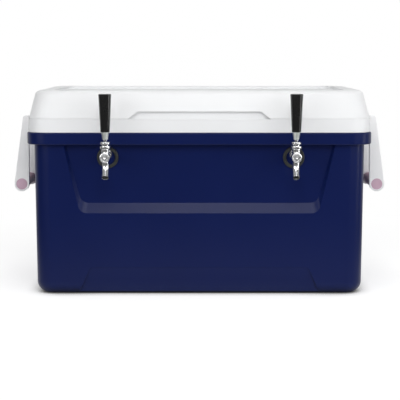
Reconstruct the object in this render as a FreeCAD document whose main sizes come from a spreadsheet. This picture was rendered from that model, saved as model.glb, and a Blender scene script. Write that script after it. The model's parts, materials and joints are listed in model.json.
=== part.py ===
import FreeCAD, Part
import math
import os
import re

import Sketcher

Vector = FreeCAD.Vector
Rotation = FreeCAD.Rotation
Placement = FreeCAD.Placement

# A two-tap jockey box: an insulated chest with a hinged lid, two swing-up
# handles, two lever faucets and a cold plate. Origin: centre of the footprint
# on the floor. +Z is up and the faucets face -Y. All sizes are millimetres.
SIZES = {
    # chest
    "rim_length": 720,
    "rim_depth": 400,
    "rim_height": 25,
    "rim_corner": 44,
    "rim_round": 3,
    "rim_overhang": 14,
    "rim_overhang_ends": 13.5,
    "shell_height": 341,
    "body_flare": 2,
    "body_corner": 36,
    "foot_round": 24,
    "skin": 3,
    "fit": 0.3,
    "wall": 57,
    "wall_ends": 60,
    "liner_base": 38,
    "liner_corner": 32,
    "liner_round": 14,
    "lip_width": 20,
    # shallow panel pressed into the upper front
    "panel_inset": 23,
    "panel_mouth_inset": 10,
    "panel_height": 123,
    "panel_top_margin": 62.5,
    "panel_bottom_margin": 95,
    "panel_slope_rise": 34,
    "panel_bevel": 5,
    "panel_corner": 20,
    # scoop between the front feet
    "scoop_margin": 79.5,
    "scoop_narrowing": 38,
    "scoop_height": 57,
    "scoop_depth": 9,
    "scoop_step": 1,
    "scoop_corner": 12,
    # lid
    "lid_inset": 3.5,
    "band_height": 27.5,
    "band_step": 1,
    "groove_height": 1.6,
    "groove_depth": 1.5,
    "lid_corner": 41,
    "lid_height": 86,
    "dome_lean": 14,
    "dome_round": 13,
    "top_panel_inset": 48.5,
    "top_panel_inset_ends": 50,
    "top_panel_sink": 6,
    "top_panel_corner": 30,
    "grab_length": 295,
    "grab_narrowing": 19,
    "grab_height": 16,
    "grab_depth": 13,
    "grab_corner": 5.3,
    "plug_depth": 12,
    "plug_clearance": 3,
    # lid hinges
    "hinge_spacing": 480,
    "hinge_width": 60,
    "hinge_offset": 8.5,
    "hinge_leaf": 3,
    "hinge_leaf_height": 21,
    "knuckle_radius": 5,
    "hinge_pin_radius": 2,
    "running_gap": 0.05,
    "side_gap": 0.4,
    "screw_radius": 2,
    "screw_length": 9,
    "screw_head_radius": 4,
    "screw_head_height": 2.2,
    "screw_head_edge": 1.1,
    "screw_crown_radius": 2.4,
    # carrying handles
    "arm_spread": 150,
    "arm_thickness": 10,
    "arm_gap": 8.5,
    "arm_rise": 12.5,
    "arm_drop": 136.5,
    "arm_top_width": 12,
    "arm_lean": 1.5,
    "arm_end_radius": 16,
    "arm_top_round": 7,
    "grip_radius": 12,
    "grip_core_radius": 6,
    "grip_edge": 1,
    "cap_depth": 2.5,
    "cap_edge": 0.5,
    "handle_pivot_rise": 17,
    "handle_pivot_inset": 6,
    "handle_pin_radius": 3,
    "pin_cover": 2.5,
    "bracket_plate": 6,
    "ear_thickness": 12,
    "ear_radius": 6.5,
    # faucets, measured from the shank's axis and from the panel's plane
    "tap_spacing": 387,
    "tap_shift": 3,
    "tap_drop": 46,
    "ring_radius": 22.5,
    "ring_hole_radius": 15.5,
    "ring_height": 5,
    "ring_edge": 2,
    "ring_lip": 2.5,
    "shank_radius": 8,
    "shank_bore_radius": 3.2,
    "shank_reach": 34,
    "shoulder_radius": 8.8,
    "shoulder_height": 3,
    "tail_length": 34,
    "barb_radius": 3.9,
    "barb_bore_radius": 2.6,
    "barb_length": 20,
    "nut_radius": 14,
    "nut_height": 8,
    "washer_radius": 13,
    "washer_height": 2,
    "coupling_radius": 10.3,
    "coupling_height": 13,
    "coupling_edge": 1,
    "faucet_tail": 10,
    "barrel_radius": 9,
    "barrel_length": 40,
    "barrel_bore_radius": 5.5,
    "seat_radius": 3.4,
    "seat_offset": 13.3,
    "seat_height": 1.7,
    "plug_radius": 10.15,
    "plug_height": 4,
    "plug_edge": 1,
    "plug_dish_radius": 6.4,
    "plug_dish": 1,
    "plug_button_radius": 3.2,
    "dish_slope": 0.5,
    "lever_offset": 31,
    "neck_radius": 8.2,
    "neck_bore_radius": 7.2,
    "neck_top": 17,
    "pivot_height": 20,
    "ball_radius": 5.7,
    "lever_swing": 24,
    "lever_arm": 16,
    "tip_radius": 2.6,
    "lever_neck_radius": 2.5,
    "lever_foot_radius": 2.1,
    "bonnet_radius": 11.5,
    "bonnet_ring": 6.3,
    "bonnet_waist_radius": 9.3,
    "bonnet_waist": 2.2,
    "bonnet_top_radius": 10.35,
    "bonnet_top_ring": 6.5,
    "bonnet_round": 1,
    "bonnet_skirt": 1,
    "ferrule_rise": 15.6,
    "ferrule_height": 15,
    "ferrule_bottom_radius": 6,
    "ferrule_top_radius": 7.8,
    "ferrule_edge": 0.6,
    "thread_radius": 3.9,
    "thread_reach": 14,
    "tap_handle_height": 77,
    "tap_handle_bottom_radius": 9.4,
    "tap_handle_top_radius": 13.1,
    "tap_handle_round": 1.6,
    "tap_handle_edge": 0.6,
    "spout_offset": 28,
    "spout_radius": 7.1,
    "spout_bore_radius": 5.8,
    "spout_drop": 16.8,
    "spout_bend_radius": 28,
    "spout_tilt": 41,
    "spout_end": 9,
    "shaft_radius": 5.2,
    "shaft_rod_radius": 1.8,
    "shaft_guide": 13.5,
    "shaft_seal": 2.4,
    # cold plate and beer lines
    "plate_length": 420,
    "plate_depth": 200,
    "plate_height": 24,
    "plate_corner": 16,
    "plate_round": 3,
    "plate_foot": 6,
    "plate_foot_radius": 11.2,
    "port_radius": 8,
    "port_height": 8,
    "port_inset_front": 58,
    "port_inset_rear": 56,
    "outlet_port_shift": 27,
    "inlet_port_shift": 12,
    "hose_radius": 5.6,
    "hose_bore_radius": 4,
    "clamp_radius": 7.2,
    "clamp_width": 7,
    "clamp_inset": 4,
    "line_run": 46,
    "line_dive": 34,
    "outlet_line_lean": 6,
    "outlet_line_bow": 14,
    "outlet_line_climb": 98,
    "outlet_line_rise": 48,
    "inlet_line_lean": 4,
    "inlet_line_bow": 16,
    "inlet_line_climb": 92,
    "inlet_line_rise": 46,
    # beer inlets and drain in the rear wall
    "inlet_spacing": 230,
    "inlet_drop": 67,
    "inlet_radius": 11.1,
    "inlet_wall": 5,
    "inlet_stub": 16,
    "inlet_flange_radius": 17,
    "inlet_flange": 4,
    "inlet_nut_radius": 17.2,
    "boss_inset": 11,
    "boss_radius": 20,
    "drain_inset": 50,
    "drain_rise": 18,
    "drain_radius": 10,
    "drain_bore_radius": 7.5,
    "drain_nut_radius": 16,
    "drain_nut_height": 3.5,
    "drain_reach": 18,
    "cap_skirt": 13,
    "cap_wall": 2.5,
    "cap_chamfer": 1,
}

# Sizes that follow from the ones above, as expressions.
DERIVED = {
    "body_length": "rim_length - 2 * rim_overhang_ends",
    "body_depth": "rim_depth - 2 * rim_overhang",
    "foot_length": "body_length - 2 * body_flare",
    "foot_depth": "body_depth - 2 * body_flare",
    "rim_bottom": "shell_height - rim_height",
    "deck": "shell_height - 2 * skin",
    "liner_length": "rim_length - 2 * wall_ends",
    "liner_depth": "rim_depth - 2 * wall",
    "liner_front": "liner_depth / 2",
    "tub_length": "liner_length + 2 * skin",
    "tub_depth": "liner_depth + 2 * skin",
    "lip_length": "liner_length + 2 * lip_width",
    "lip_depth": "liner_depth + 2 * lip_width",
    "panel_plane": "rim_depth / 2 - panel_inset",
    "panel_mouth": "rim_depth / 2 - panel_mouth_inset",
    "panel_bottom": "rim_bottom - panel_height",
    "panel_top_length": "body_length - 2 * panel_top_margin",
    "panel_bottom_length": "body_length - 2 * panel_bottom_margin",
    "scoop_bottom_length": "body_length - 2 * scoop_margin",
    "scoop_top_length": "scoop_bottom_length - 2 * scoop_narrowing",
    "lid_length": "rim_length - 2 * lid_inset",
    "lid_depth": "rim_depth - 2 * lid_inset",
    "lid_base": "shell_height + fit",
    "lid_top": "lid_base + lid_height",
    "band_top": "lid_base + band_height",
    "dome_length": "lid_length - 2 * band_step",
    "dome_depth": "lid_depth - 2 * band_step",
    "dome_corner": "lid_corner - band_step",
    "top_panel_length": "lid_length - 2 * top_panel_inset_ends",
    "top_panel_depth": "lid_depth - 2 * top_panel_inset",
    "plug_length": "liner_length - 2 * plug_clearance",
    "plug_width": "liner_depth - 2 * plug_clearance",
    "hinge_x": "hinge_spacing / 2",
    "hinge_y": "rim_depth / 2 + hinge_offset",
    "arm_inner": "rim_length / 2 + arm_gap",
    "arm_face": "arm_spread / 2 - arm_thickness",
    "handle_x": "arm_inner + handle_pivot_inset",
    "handle_pivot_height": "shell_height + handle_pivot_rise",
    "arm_top": "handle_pivot_height + arm_rise",
    "grip_x": "arm_inner + arm_lean + arm_end_radius",
    "grip_height": "handle_pivot_height - arm_drop",
    "tap_left": "tap_shift - tap_spacing / 2",
    "tap_right": "tap_shift + tap_spacing / 2",
    "tap_height": "shell_height - tap_drop",
    "ring_sag": "ring_hole_radius - shoulder_radius - fit",
    "faucet_back": "panel_plane + shank_reach",
    "barrel_front": "faucet_back + faucet_tail + barrel_length",
    "lever_y": "faucet_back + lever_offset",
    "lever_pivot_height": "tap_height + pivot_height",
    "inlet_x": "inlet_spacing / 2",
    "inlet_height": "shell_height - inlet_drop",
    "boss_plane": "rim_depth / 2 - boss_inset",
    "drain_x": "liner_length / 2 - drain_inset",
    "drain_height": "liner_base + drain_rise",
    "plate_base": "liner_base + plate_foot",
    "plate_top": "plate_base + plate_height",
    "port_top": "plate_top + port_height",
}

document = FreeCAD.newDocument("JockeyBox")
sheet = document.addObject("Spreadsheet::Sheet", "Sizes")
for row, (alias, number) in enumerate(SIZES.items(), start=1):
    sheet.set("A%d" % row, alias)
    sheet.set("B%d" % row, str(number))
    sheet.setAlias("B%d" % row, alias)
document.recompute()

UP = Rotation()
TO_FRONT = Rotation(Vector(1, 0, 0), 90)
TO_REAR = Rotation(Vector(1, 0, 0), -90)
TO_RIGHT = Rotation(Vector(0, 1, 0), 90)
TURNED_ROUND = Rotation(Vector(0, 0, 1), 180)

node_objects = {}


def bound(text):
    """Write derived sizes out in full and name the sheet in front of every alias."""
    def written_out(found):
        word = found.group()
        if word in DERIVED:
            return "(" + bound(DERIVED[word]) + ")"
        return "Sizes." + word if word in SIZES else word
    return re.sub(r"\b[a-z_]+\b", written_out, str(text))


def value(text):
    result = sheet.evalExpression(bound(text))
    return float(getattr(result, "Value", result))


def bind(thing, **expressions):
    for name, text in expressions.items():
        thing.setExpression(name, bound(text))
    return thing


def place(thing, x="0", y="0", z="0", turn=UP):
    """Put an object at x, y, z, each of them an expression."""
    thing.Placement = Placement(Vector(value(x), value(y), value(z)), turn)
    for axis, text in (("x", x), ("y", y), ("z", z)):
        if text != "0":
            thing.setExpression("Placement.Base." + axis, bound(text))
    return thing


def primitive(kind, name, x="0", y="0", z="0", turn=UP, **sizes):
    return place(bind(document.addObject("Part::" + kind, name), **sizes), x, y, z, turn)


def cylinder(name, radius, height, x="0", y="0", z="0", turn=UP):
    return primitive("Cylinder", name, x, y, z, turn, Radius=radius, Height=height)


def fuse(name, pieces):
    if len(pieces) == 1:
        return pieces[0]
    joined = document.addObject("Part::MultiFuse", name)
    joined.Shapes = pieces
    joined.Refine = True
    return joined


def group(name, pieces):
    """Keep separate solids together as one node."""
    together = document.addObject("Part::Compound", name)
    together.Links = pieces
    return together


def cut(name, base, tools):
    result = document.addObject("Part::Cut", name)
    result.Base = base
    result.Tool = fuse(name + "_tools", tools)
    result.Refine = True
    return result


def node(name, thing):
    """Make an object a sub-part: its label is the name of its file."""
    thing.Label = name
    node_objects[name] = thing
    return thing


def sketch(body, plane, name, corners, offset="0", rounded=None):
    """Draw a closed outline bound to the sheet; rounded maps corner numbers to radii."""
    drawing = body.newObject("Sketcher::SketchObject", name)
    origin_plane = [item for item in body.Origin.OriginFeatures if item.Role == plane][0]
    drawing.AttachmentSupport = [(origin_plane, "")]
    drawing.MapMode = "FlatFace"
    if offset != "0":
        drawing.setExpression("AttachmentOffset.Base.z", bound(offset))
    points = [Vector(value(x), value(y), 0) for x, y in corners]
    count = len(points)
    for i in range(count):
        drawing.addGeometry(Part.LineSegment(points[i], points[(i + 1) % count]))
    for i in range(count):
        drawing.addConstraint(Sketcher.Constraint("Coincident", i, 2, (i + 1) % count, 1))
    for i, (x, y) in enumerate(corners):
        for kind, text, number in (("DistanceX", x, points[i].x), ("DistanceY", y, points[i].y)):
            index = drawing.addConstraint(Sketcher.Constraint(kind, -1, 1, i, 1, number))
            drawing.setExpression("Constraints[%d]" % index, bound(text))
    document.recompute()
    for i, radius in (rounded or {}).items():
        before = (i - 1) % count
        along = 0.3
        drawing.fillet(before, i, points[i] + (points[before] - points[i]) * along,
                       points[i] + (points[(i + 1) % count] - points[i]) * along, value(radius), True, True)
        index = drawing.addConstraint(Sketcher.Constraint("Radius", drawing.GeometryCount - 2, value(radius)))
        drawing.setExpression("Constraints[%d]" % index, bound(radius))
    return drawing


def rectangle(length, depth):
    half_x = "(%s) / 2" % length
    half_y = "(%s) / 2" % depth
    return [("-" + half_x, "-" + half_y), (half_x, "-" + half_y), (half_x, half_y), ("-" + half_x, half_y)]


def pad(body, drawing, length, taper=None, midplane=False):
    feature = body.newObject("PartDesign::Pad", drawing.Name + "_pad")
    feature.Profile = drawing
    feature.Midplane = midplane
    bind(feature, Length=length)
    if taper:
        bind(feature, TaperAngle=taper)
    document.recompute()
    return feature


def fillet(body, radius, wanted):
    """Round the edges of the newest feature that wanted() picks."""
    base = body.Tip
    names = ["Edge%d" % (i + 1) for i, edge in enumerate(base.Shape.Edges) if wanted(edge)]
    if not names:
        raise RuntimeError("no edge to round on " + body.Name)
    feature = body.newObject("PartDesign::Fillet", base.Name + "_round")
    feature.Base = (base, names)
    bind(feature, Radius=radius)
    document.recompute()
    return feature


def lies_at(axis, level):
    """Pick edges that lie in one plane across the given axis."""
    low, high = axis.upper() + "Min", axis.upper() + "Max"
    return lambda edge: max(abs(getattr(edge.BoundBox, side) - level) for side in (low, high)) < 0.01


def block(name, length, depth, height, base="0", flare=None, corner=None, bottom=None, top=None):
    """Rounded box on the XY plane that may widen or narrow upwards."""
    body = document.addObject("PartDesign::Body", name)
    drawing = sketch(body, "XY_Plane", name + "_outline", rectangle(length, depth))
    pad(body, drawing, height, "atan((%s) / (%s))" % (flare, height) if flare else None)
    if corner:
        fillet(body, corner, lambda edge: edge.BoundBox.ZLength > 0.9 * value(height))
    if bottom:
        fillet(body, bottom, lies_at("z", 0))
    if top:
        fillet(body, top, lies_at("z", value(height)))
    return place(body, z=base)


def turned(name, profile, x="0", y="0", z="0", turn=UP):
    """Lathe-turned piece: profile lists radius and height along its axis."""
    body = document.addObject("PartDesign::Body", name)
    drawing = sketch(body, "XZ_Plane", name + "_profile", profile)
    feature = body.newObject("PartDesign::Revolution", name + "_turned")
    feature.Profile = drawing
    feature.ReferenceAxis = (drawing, ["V_Axis"])
    feature.Angle = 360
    document.recompute()
    return place(body, x, y, z, turn)


def tube(outer, inner, low, high):
    """Profile of a plain ring."""
    return [(inner, low), (outer, low), (outer, high), (inner, high)]


# ---------------------------------------------------------------- chest

def panel_tool(name, grow):
    """Shallow tapered panel of the upper front, enlarged all round by grow."""
    body = document.addObject("PartDesign::Body", name)

    def outline(label, bevel, rise, offset):
        half_top = "(panel_top_length / 2 - %s + %s)" % (bevel, grow)
        half_bottom = "(panel_bottom_length / 2 - %s + %s)" % (bevel, grow)
        low = "(panel_bottom - %s - %s)" % (rise, grow)
        corners = [("-" + half_bottom, low), (half_bottom, low),
                   (half_top, "rim_bottom"), ("-" + half_top, "rim_bottom")]
        return sketch(body, "XZ_Plane", name + label, corners, offset, {0: "panel_corner", 1: "panel_corner"})

    mouth = outline("_mouth", "0", "panel_slope_rise", "panel_mouth")
    deep = outline("_floor", "panel_bevel", "0", "panel_plane - %s" % grow)
    loft = body.newObject("PartDesign::AdditiveLoft", name + "_loft")
    loft.Profile = mouth
    loft.Sections = [deep]
    loft.Ruled = True
    document.recompute()
    return body


def scoop_tool(name, grow):
    """Scoop between the front feet: its floor leans in towards the ground."""
    body = document.addObject("PartDesign::Body", name)
    half_top = "(scoop_top_length / 2 + %s)" % grow
    half_bottom = "(scoop_bottom_length / 2 + %s)" % grow
    top = "(scoop_height + %s)" % grow
    bottom = "-(skin + foot_round)"
    outline = sketch(body, "XZ_Plane", name + "_outline", [
        ("-" + half_bottom, bottom), (half_bottom, bottom), (half_top, top), ("-" + half_top, top)])
    pad(body, outline, "body_depth / 2")
    fillet(body, "scoop_corner", lambda edge: edge.BoundBox.YLength > 5 and edge.BoundBox.ZMin > 5)
    foot = "foot_depth / 2"
    crest = "(%s + body_flare * scoop_height / shell_height)" % foot
    low_floor = "(%s - scoop_depth * (1 + (skin + foot_round) / scoop_height))" % foot
    behind = sketch(body, "YZ_Plane", name + "_behind", [
        ("fit", bottom + " - fit"), ("-(%s - %s)" % (low_floor, grow), bottom + " - fit"),
        ("-(%s - scoop_step - %s)" % (crest, grow), top + " + fit"), ("fit", top + " + fit")])
    pocket = body.newObject("PartDesign::Pocket", name + "_floor")
    pocket.Profile = behind
    pocket.Type = "ThroughAll"
    pocket.Midplane = True
    before = body.Shape.Volume
    document.recompute()
    if body.Shape.Volume > 0.9 * before:
        raise RuntimeError(name + " was not cut to a scoop")
    return body


def wall_holes(prefix, extra):
    """Passages of the two shanks, the two inlets and the drain."""
    holes = []
    for side, sign in (("left", "-"), ("right", "")):
        holes.append(cylinder(prefix + "_shank_hole_" + side, "shank_radius + fit + %s" % extra,
                              "panel_mouth", "tap_" + side, "0", "tap_height", TO_FRONT))
        holes.append(cylinder(prefix + "_inlet_hole_" + side, "inlet_radius + fit + %s" % extra,
                              "panel_mouth + boss_radius", sign + "inlet_x", "0", "inlet_height", TO_REAR))
    holes.append(cylinder(prefix + "_drain_hole", "drain_radius + fit + %s" % extra,
                          "panel_mouth + boss_radius", "drain_x", "0", "drain_height", TO_REAR))
    return holes


def make_body_shell():
    outer = block("shell_outer", "foot_length", "foot_depth", "shell_height",
                  flare="body_flare", corner="body_corner", bottom="foot_round")
    rim = block("shell_rim", "rim_length", "rim_depth", "rim_height", base="rim_bottom", corner="rim_corner")
    fillet(rim, "rim_round", lies_at("z", 0))
    fillet(rim, "rim_round", lies_at("z", value("rim_height")))
    bosses = []
    for label, x, z in (("left", "-inlet_x", "inlet_height"), ("right", "inlet_x", "inlet_height"),
                        ("drain", "drain_x", "drain_height")):
        bosses.append(cylinder("boss_" + label, "boss_radius", "boss_plane - liner_front",
                               x, "liner_front", z, TO_REAR))
    hollow = block("shell_hollow", "foot_length - 2 * skin", "foot_depth - 2 * skin",
                   "deck - skin", base="skin", flare="body_flare", corner="body_corner - skin",
                   bottom="foot_round - skin")
    hollow = cut("shell_hollow_front", hollow,
                 [panel_tool("panel_back", "skin"), scoop_tool("scoop_back", "skin")])
    mouth = block("shell_mouth", "tub_length + 2 * fit", "tub_depth + 2 * fit",
                  "4 * skin", base="shell_height - 3 * skin", corner="liner_corner + skin + fit")
    rebate = block("shell_rebate", "lip_length + 2 * fit", "lip_depth + 2 * fit", "2 * skin",
                   base="shell_height - skin", corner="liner_corner + lip_width + fit")
    panel = panel_tool("panel_face", "0")
    scoop = scoop_tool("scoop_face", "0")
    solid = fuse("shell_solid", [outer, rim] + bosses)
    shell = cut("shell_open", solid, [hollow, mouth, rebate])
    shell = cut("shell_fronted", shell, [panel, scoop])
    return cut("shell_drilled", shell, wall_holes("shell", "0") + screw_holes())


def make_body_foam():
    gap = "(skin + fit)"
    foam = block("foam_outer", "foot_length - 2 * " + gap, "foot_depth - 2 * " + gap,
                 "deck - skin - 2 * fit", base=gap, flare="body_flare", corner="body_corner - " + gap,
                 bottom="foot_round - " + gap)
    hollow = block("foam_hollow", "tub_length + 2 * fit", "tub_depth + 2 * fit",
                   "shell_height", base="liner_base - skin - fit", corner="liner_corner + skin + fit",
                   bottom="liner_round + skin + fit")
    foam = cut("foam_formed", foam, [panel_tool("panel_foam", gap), scoop_tool("scoop_foam", gap)])
    return cut("foam_cored", foam, [hollow] + wall_holes("foam", "fit"))


def make_body_liner():
    tub = block("liner_tub", "tub_length", "tub_depth", "shell_height - liner_base + skin",
                base="liner_base - skin", corner="liner_corner + skin", bottom="liner_round + skin")
    lip = block("liner_lip", "lip_length", "lip_depth", "skin", base="shell_height - skin",
                corner="liner_corner + lip_width")
    inside = block("liner_inside", "liner_length", "liner_depth", "shell_height", base="liner_base",
                   corner="liner_corner", bottom="liner_round")
    liner = cut("liner_hollowed", fuse("liner_solid", [tub, lip]), [inside])
    return cut("liner_drilled", liner, wall_holes("liner", "0"))


# ------------------------------------------------------------------ lid

def grab_tool(name, grow):
    """Finger recess in the front of the lid, above the band."""
    body = document.addObject("PartDesign::Body", name)
    wide = "(grab_length / 2 + %s)" % grow
    narrow = "(grab_length / 2 - grab_narrowing + %s)" % grow
    low = "band_top - %s" % grow
    high = "band_top + grab_height + %s" % grow
    outline = sketch(body, "XZ_Plane", name + "_outline",
                     [("-" + wide, low), (wide, low), (narrow, high), ("-" + narrow, high)],
                     "lid_depth / 2 - band_step - grab_depth - %s" % grow)
    pad(body, outline, "grab_depth + 2 * band_step + %s" % grow)
    level = value(high)
    deep = value("grab_depth") / 2
    fillet(body, "grab_corner", lambda edge: edge.BoundBox.YLength > deep
           and abs(edge.BoundBox.ZMax - level) < 0.01)
    return body


def make_lid_shell():
    dome_height = "lid_height - band_height"
    band = block("lid_band", "lid_length", "lid_depth", "band_height", base="lid_base", corner="lid_corner")
    neck = block("lid_neck", "dome_length - 2 * groove_depth", "dome_depth - 2 * groove_depth",
                 "groove_height", base="band_top", corner="dome_corner - groove_depth")
    dome = block("lid_dome", "dome_length", "dome_depth", dome_height + " - groove_height",
                 base="band_top + groove_height", flare="-dome_lean", corner="dome_corner", top="dome_round")
    hollow_band = block("lid_band_hollow", "lid_length - 2 * skin", "lid_depth - 2 * skin", "band_height",
                        base="lid_base", corner="lid_corner - skin")
    hollow_dome = block("lid_dome_hollow", "dome_length - 2 * skin", "dome_depth - 2 * skin",
                        dome_height + " - skin - top_panel_sink", base="band_top", flare="-dome_lean",
                        corner="dome_corner - skin", top="dome_round - skin")
    sink = block("lid_top_panel", "top_panel_length", "top_panel_depth", "2 * top_panel_sink",
                 base="lid_top - top_panel_sink", corner="top_panel_corner")
    shell = fuse("lid_solid", [band, neck, dome])
    hollow = fuse("lid_hollows", [hollow_band, hollow_dome])
    hollow = cut("lid_hollow", hollow, [grab_tool("grab_back", "skin")])
    shell = cut("lid_hollowed", shell, [hollow, sink])
    return cut("lid_finished", shell, [grab_tool("grab_face", "0")] + lid_screw_holes("lid_shell"))


def make_lid_liner():
    """Inner pan of the lid with the plug that enters the chest's mouth."""
    gap = "2 * (skin + fit)"
    pan = block("pan_plate", "lid_length - " + gap, "lid_depth - " + gap, "skin", base="lid_base",
                corner="lid_corner - skin - fit")
    plug = block("pan_plug", "plug_length", "plug_width", "plug_depth + skin", base="lid_base - plug_depth",
                 corner="liner_corner", bottom="skin + fit")
    hollow = block("pan_hollow", "plug_length - 2 * skin", "plug_width - 2 * skin", "plug_depth + skin",
                   base="lid_base - plug_depth + skin", corner="liner_corner - skin")
    return cut("pan_finished", fuse("pan_solid", [pan, plug]), [hollow])


def make_lid_foam():
    gap = "2 * (skin + fit)"
    band = block("lid_foam_band", "lid_length - " + gap, "lid_depth - " + gap, "band_height - skin - fit",
                 base="lid_base + skin + fit", corner="lid_corner - skin - fit")
    dome = block("lid_foam_dome", "dome_length - " + gap, "dome_depth - " + gap,
                 "lid_height - band_height - skin - top_panel_sink - fit", base="band_top",
                 flare="-dome_lean", corner="dome_corner - skin - fit", top="dome_round - skin")
    core = block("lid_foam_core", "plug_length - " + gap, "plug_width - " + gap, "plug_depth + 2 * skin",
                 base="lid_base - plug_depth + skin + fit", corner="liner_corner - skin - fit")
    foam = fuse("lid_foam_solid", [band, dome, core])
    foam_grab = grab_tool("grab_foam", "(skin + fit)")
    return cut("lid_foam_finished", foam, [foam_grab] + lid_screw_holes("lid_foam"))


# --------------------------------------------------------------- hinges

def hinge_places():
    """Centres of the two lid hinges along X."""
    return (("left", "-hinge_x"), ("right", "hinge_x"))


def leaf(name, x, upper):
    """One hinge leaf: a plate on the wall with its knuckles on the pin's axis."""
    if upper:
        wall = "(lid_depth / 2)"
        base = "lid_base + knuckle_radius + side_gap"
        web_low = "shell_height"
        web_high = base + " + hinge_leaf"
        knuckles = [("-hinge_width / 6 + side_gap", "hinge_width / 3 - 2 * side_gap")]
        bore = "hinge_pin_radius + running_gap"
    else:
        wall = "(rim_depth / 2)"
        base = "shell_height - knuckle_radius - side_gap - hinge_leaf_height"
        web_low = base + " + hinge_leaf_height - hinge_leaf"
        web_high = "shell_height"
        knuckles = [("-hinge_width / 2", "hinge_width / 3 - side_gap"),
                    ("hinge_width / 6 + side_gap", "hinge_width / 3 - side_gap")]
        bore = "hinge_pin_radius + running_gap / 2"
    pieces = [primitive("Box", name + "_plate", x + " - hinge_width / 2", wall, base,
                        Length="hinge_width", Width="hinge_leaf", Height="hinge_leaf_height")]
    for number, (start, width) in enumerate(knuckles):
        shift = "%s + (%s)" % (x, start)
        label = "%s_knuckle%d" % (name, number)
        pieces.append(cylinder(label, "knuckle_radius", width, shift, "hinge_y", "shell_height", TO_RIGHT))
        pieces.append(primitive("Box", label + "_web", shift, wall, web_low, Length=width,
                                Width="hinge_y - " + wall, Height="(%s) - (%s)" % (web_high, web_low)))
    solid = fuse(name + "_solid", pieces)
    tools = [cylinder(name + "_bore", bore, "hinge_width + 2 * fit", x + " - hinge_width / 2 - fit",
                      "hinge_y", "shell_height", TO_RIGHT)]
    for number, shift in enumerate(("-hinge_width / 3", "hinge_width / 3")):
        tools.append(cylinder("%s_screw%d" % (name, number), "screw_radius + fit", "3 * hinge_leaf",
                              "%s + (%s)" % (x, shift), wall + " - hinge_leaf",
                              base + " + hinge_leaf_height / 2", TO_REAR))
    return cut(name, solid, tools)


def hinge_screw_places(upper):
    """X and Z of the screws that hold the hinge leaves."""
    middle = ("lid_base + knuckle_radius + side_gap + hinge_leaf_height / 2" if upper
              else "shell_height - knuckle_radius - side_gap - hinge_leaf_height / 2")
    return [("%s + (%s)" % (x, shift), middle) for side, x in hinge_places()
            for shift in ("-hinge_width / 3", "hinge_width / 3")]


def lid_screw_holes(prefix):
    return [cylinder("%s_screw_hole%d" % (prefix, i), "screw_radius + fit / 3", "screw_length + fit",
                     x, "lid_depth / 2 + hinge_leaf", z, TO_FRONT)
            for i, (x, z) in enumerate(hinge_screw_places(True))]


def bracket_screw_places():
    """Y and Z of the screws of one handle bracket."""
    reach = "(arm_face - ear_thickness - 2 * screw_head_radius)"
    return [(sign + reach, "rim_bottom + rim_height / 2") for sign in ("-", "")]


def screw_holes():
    """Pilot holes of hinge and bracket screws in the rim."""
    holes = [cylinder("rim_screw_hole%d" % i, "screw_radius + fit / 3", "screw_length + fit",
                      x, "rim_depth / 2 + hinge_leaf", z, TO_FRONT)
             for i, (x, z) in enumerate(hinge_screw_places(False))]
    for side, sign, turn in (("left", "-", TO_RIGHT), ("right", "", TO_RIGHT.inverted())):
        for i, (y, z) in enumerate(bracket_screw_places()):
            holes.append(cylinder("bracket_hole_%s%d" % (side, i), "screw_radius + fit / 3",
                                  "screw_length + fit", sign + "(rim_length / 2 + bracket_plate)",
                                  y, z, turn))
    return holes


def screw(name, x, y, z, turn):
    """Pan-head screw; its head's underside is at the given place."""
    return turned(name, [("0", "-screw_length"), ("screw_radius", "-screw_length"), ("screw_radius", "0"),
                         ("screw_head_radius", "0"), ("screw_head_radius", "screw_head_edge"),
                         ("screw_crown_radius", "screw_head_height"), ("0", "screw_head_height")],
                  x, y, z, turn)


def make_hinges():
    node("hinge_leaves_body", group("hinge_leaves_body", [
        leaf("leaf_body_" + side, x, False) for side, x in hinge_places()]))
    node("hinge_leaves_lid", group("hinge_leaves_lid", [
        leaf("leaf_lid_" + side, x, True) for side, x in hinge_places()]))
    node("hinge_pins", group("hinge_pins", [
        cylinder("hinge_pin_" + side, "hinge_pin_radius", "hinge_width", x + " - hinge_width / 2", "hinge_y",
                 "shell_height", TO_RIGHT) for side, x in hinge_places()]))
    for label, upper, wall in (("body", False, "rim_depth / 2"), ("lid", True, "lid_depth / 2")):
        screws = [screw("hinge_screw_%s%d" % (label, i), x, wall + " + hinge_leaf", z, TO_REAR)
                  for i, (x, z) in enumerate(hinge_screw_places(upper))]
        node("hinge_screws_" + label, group("hinge_screws_" + label, screws))


# -------------------------------------------------------------- handles

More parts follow.
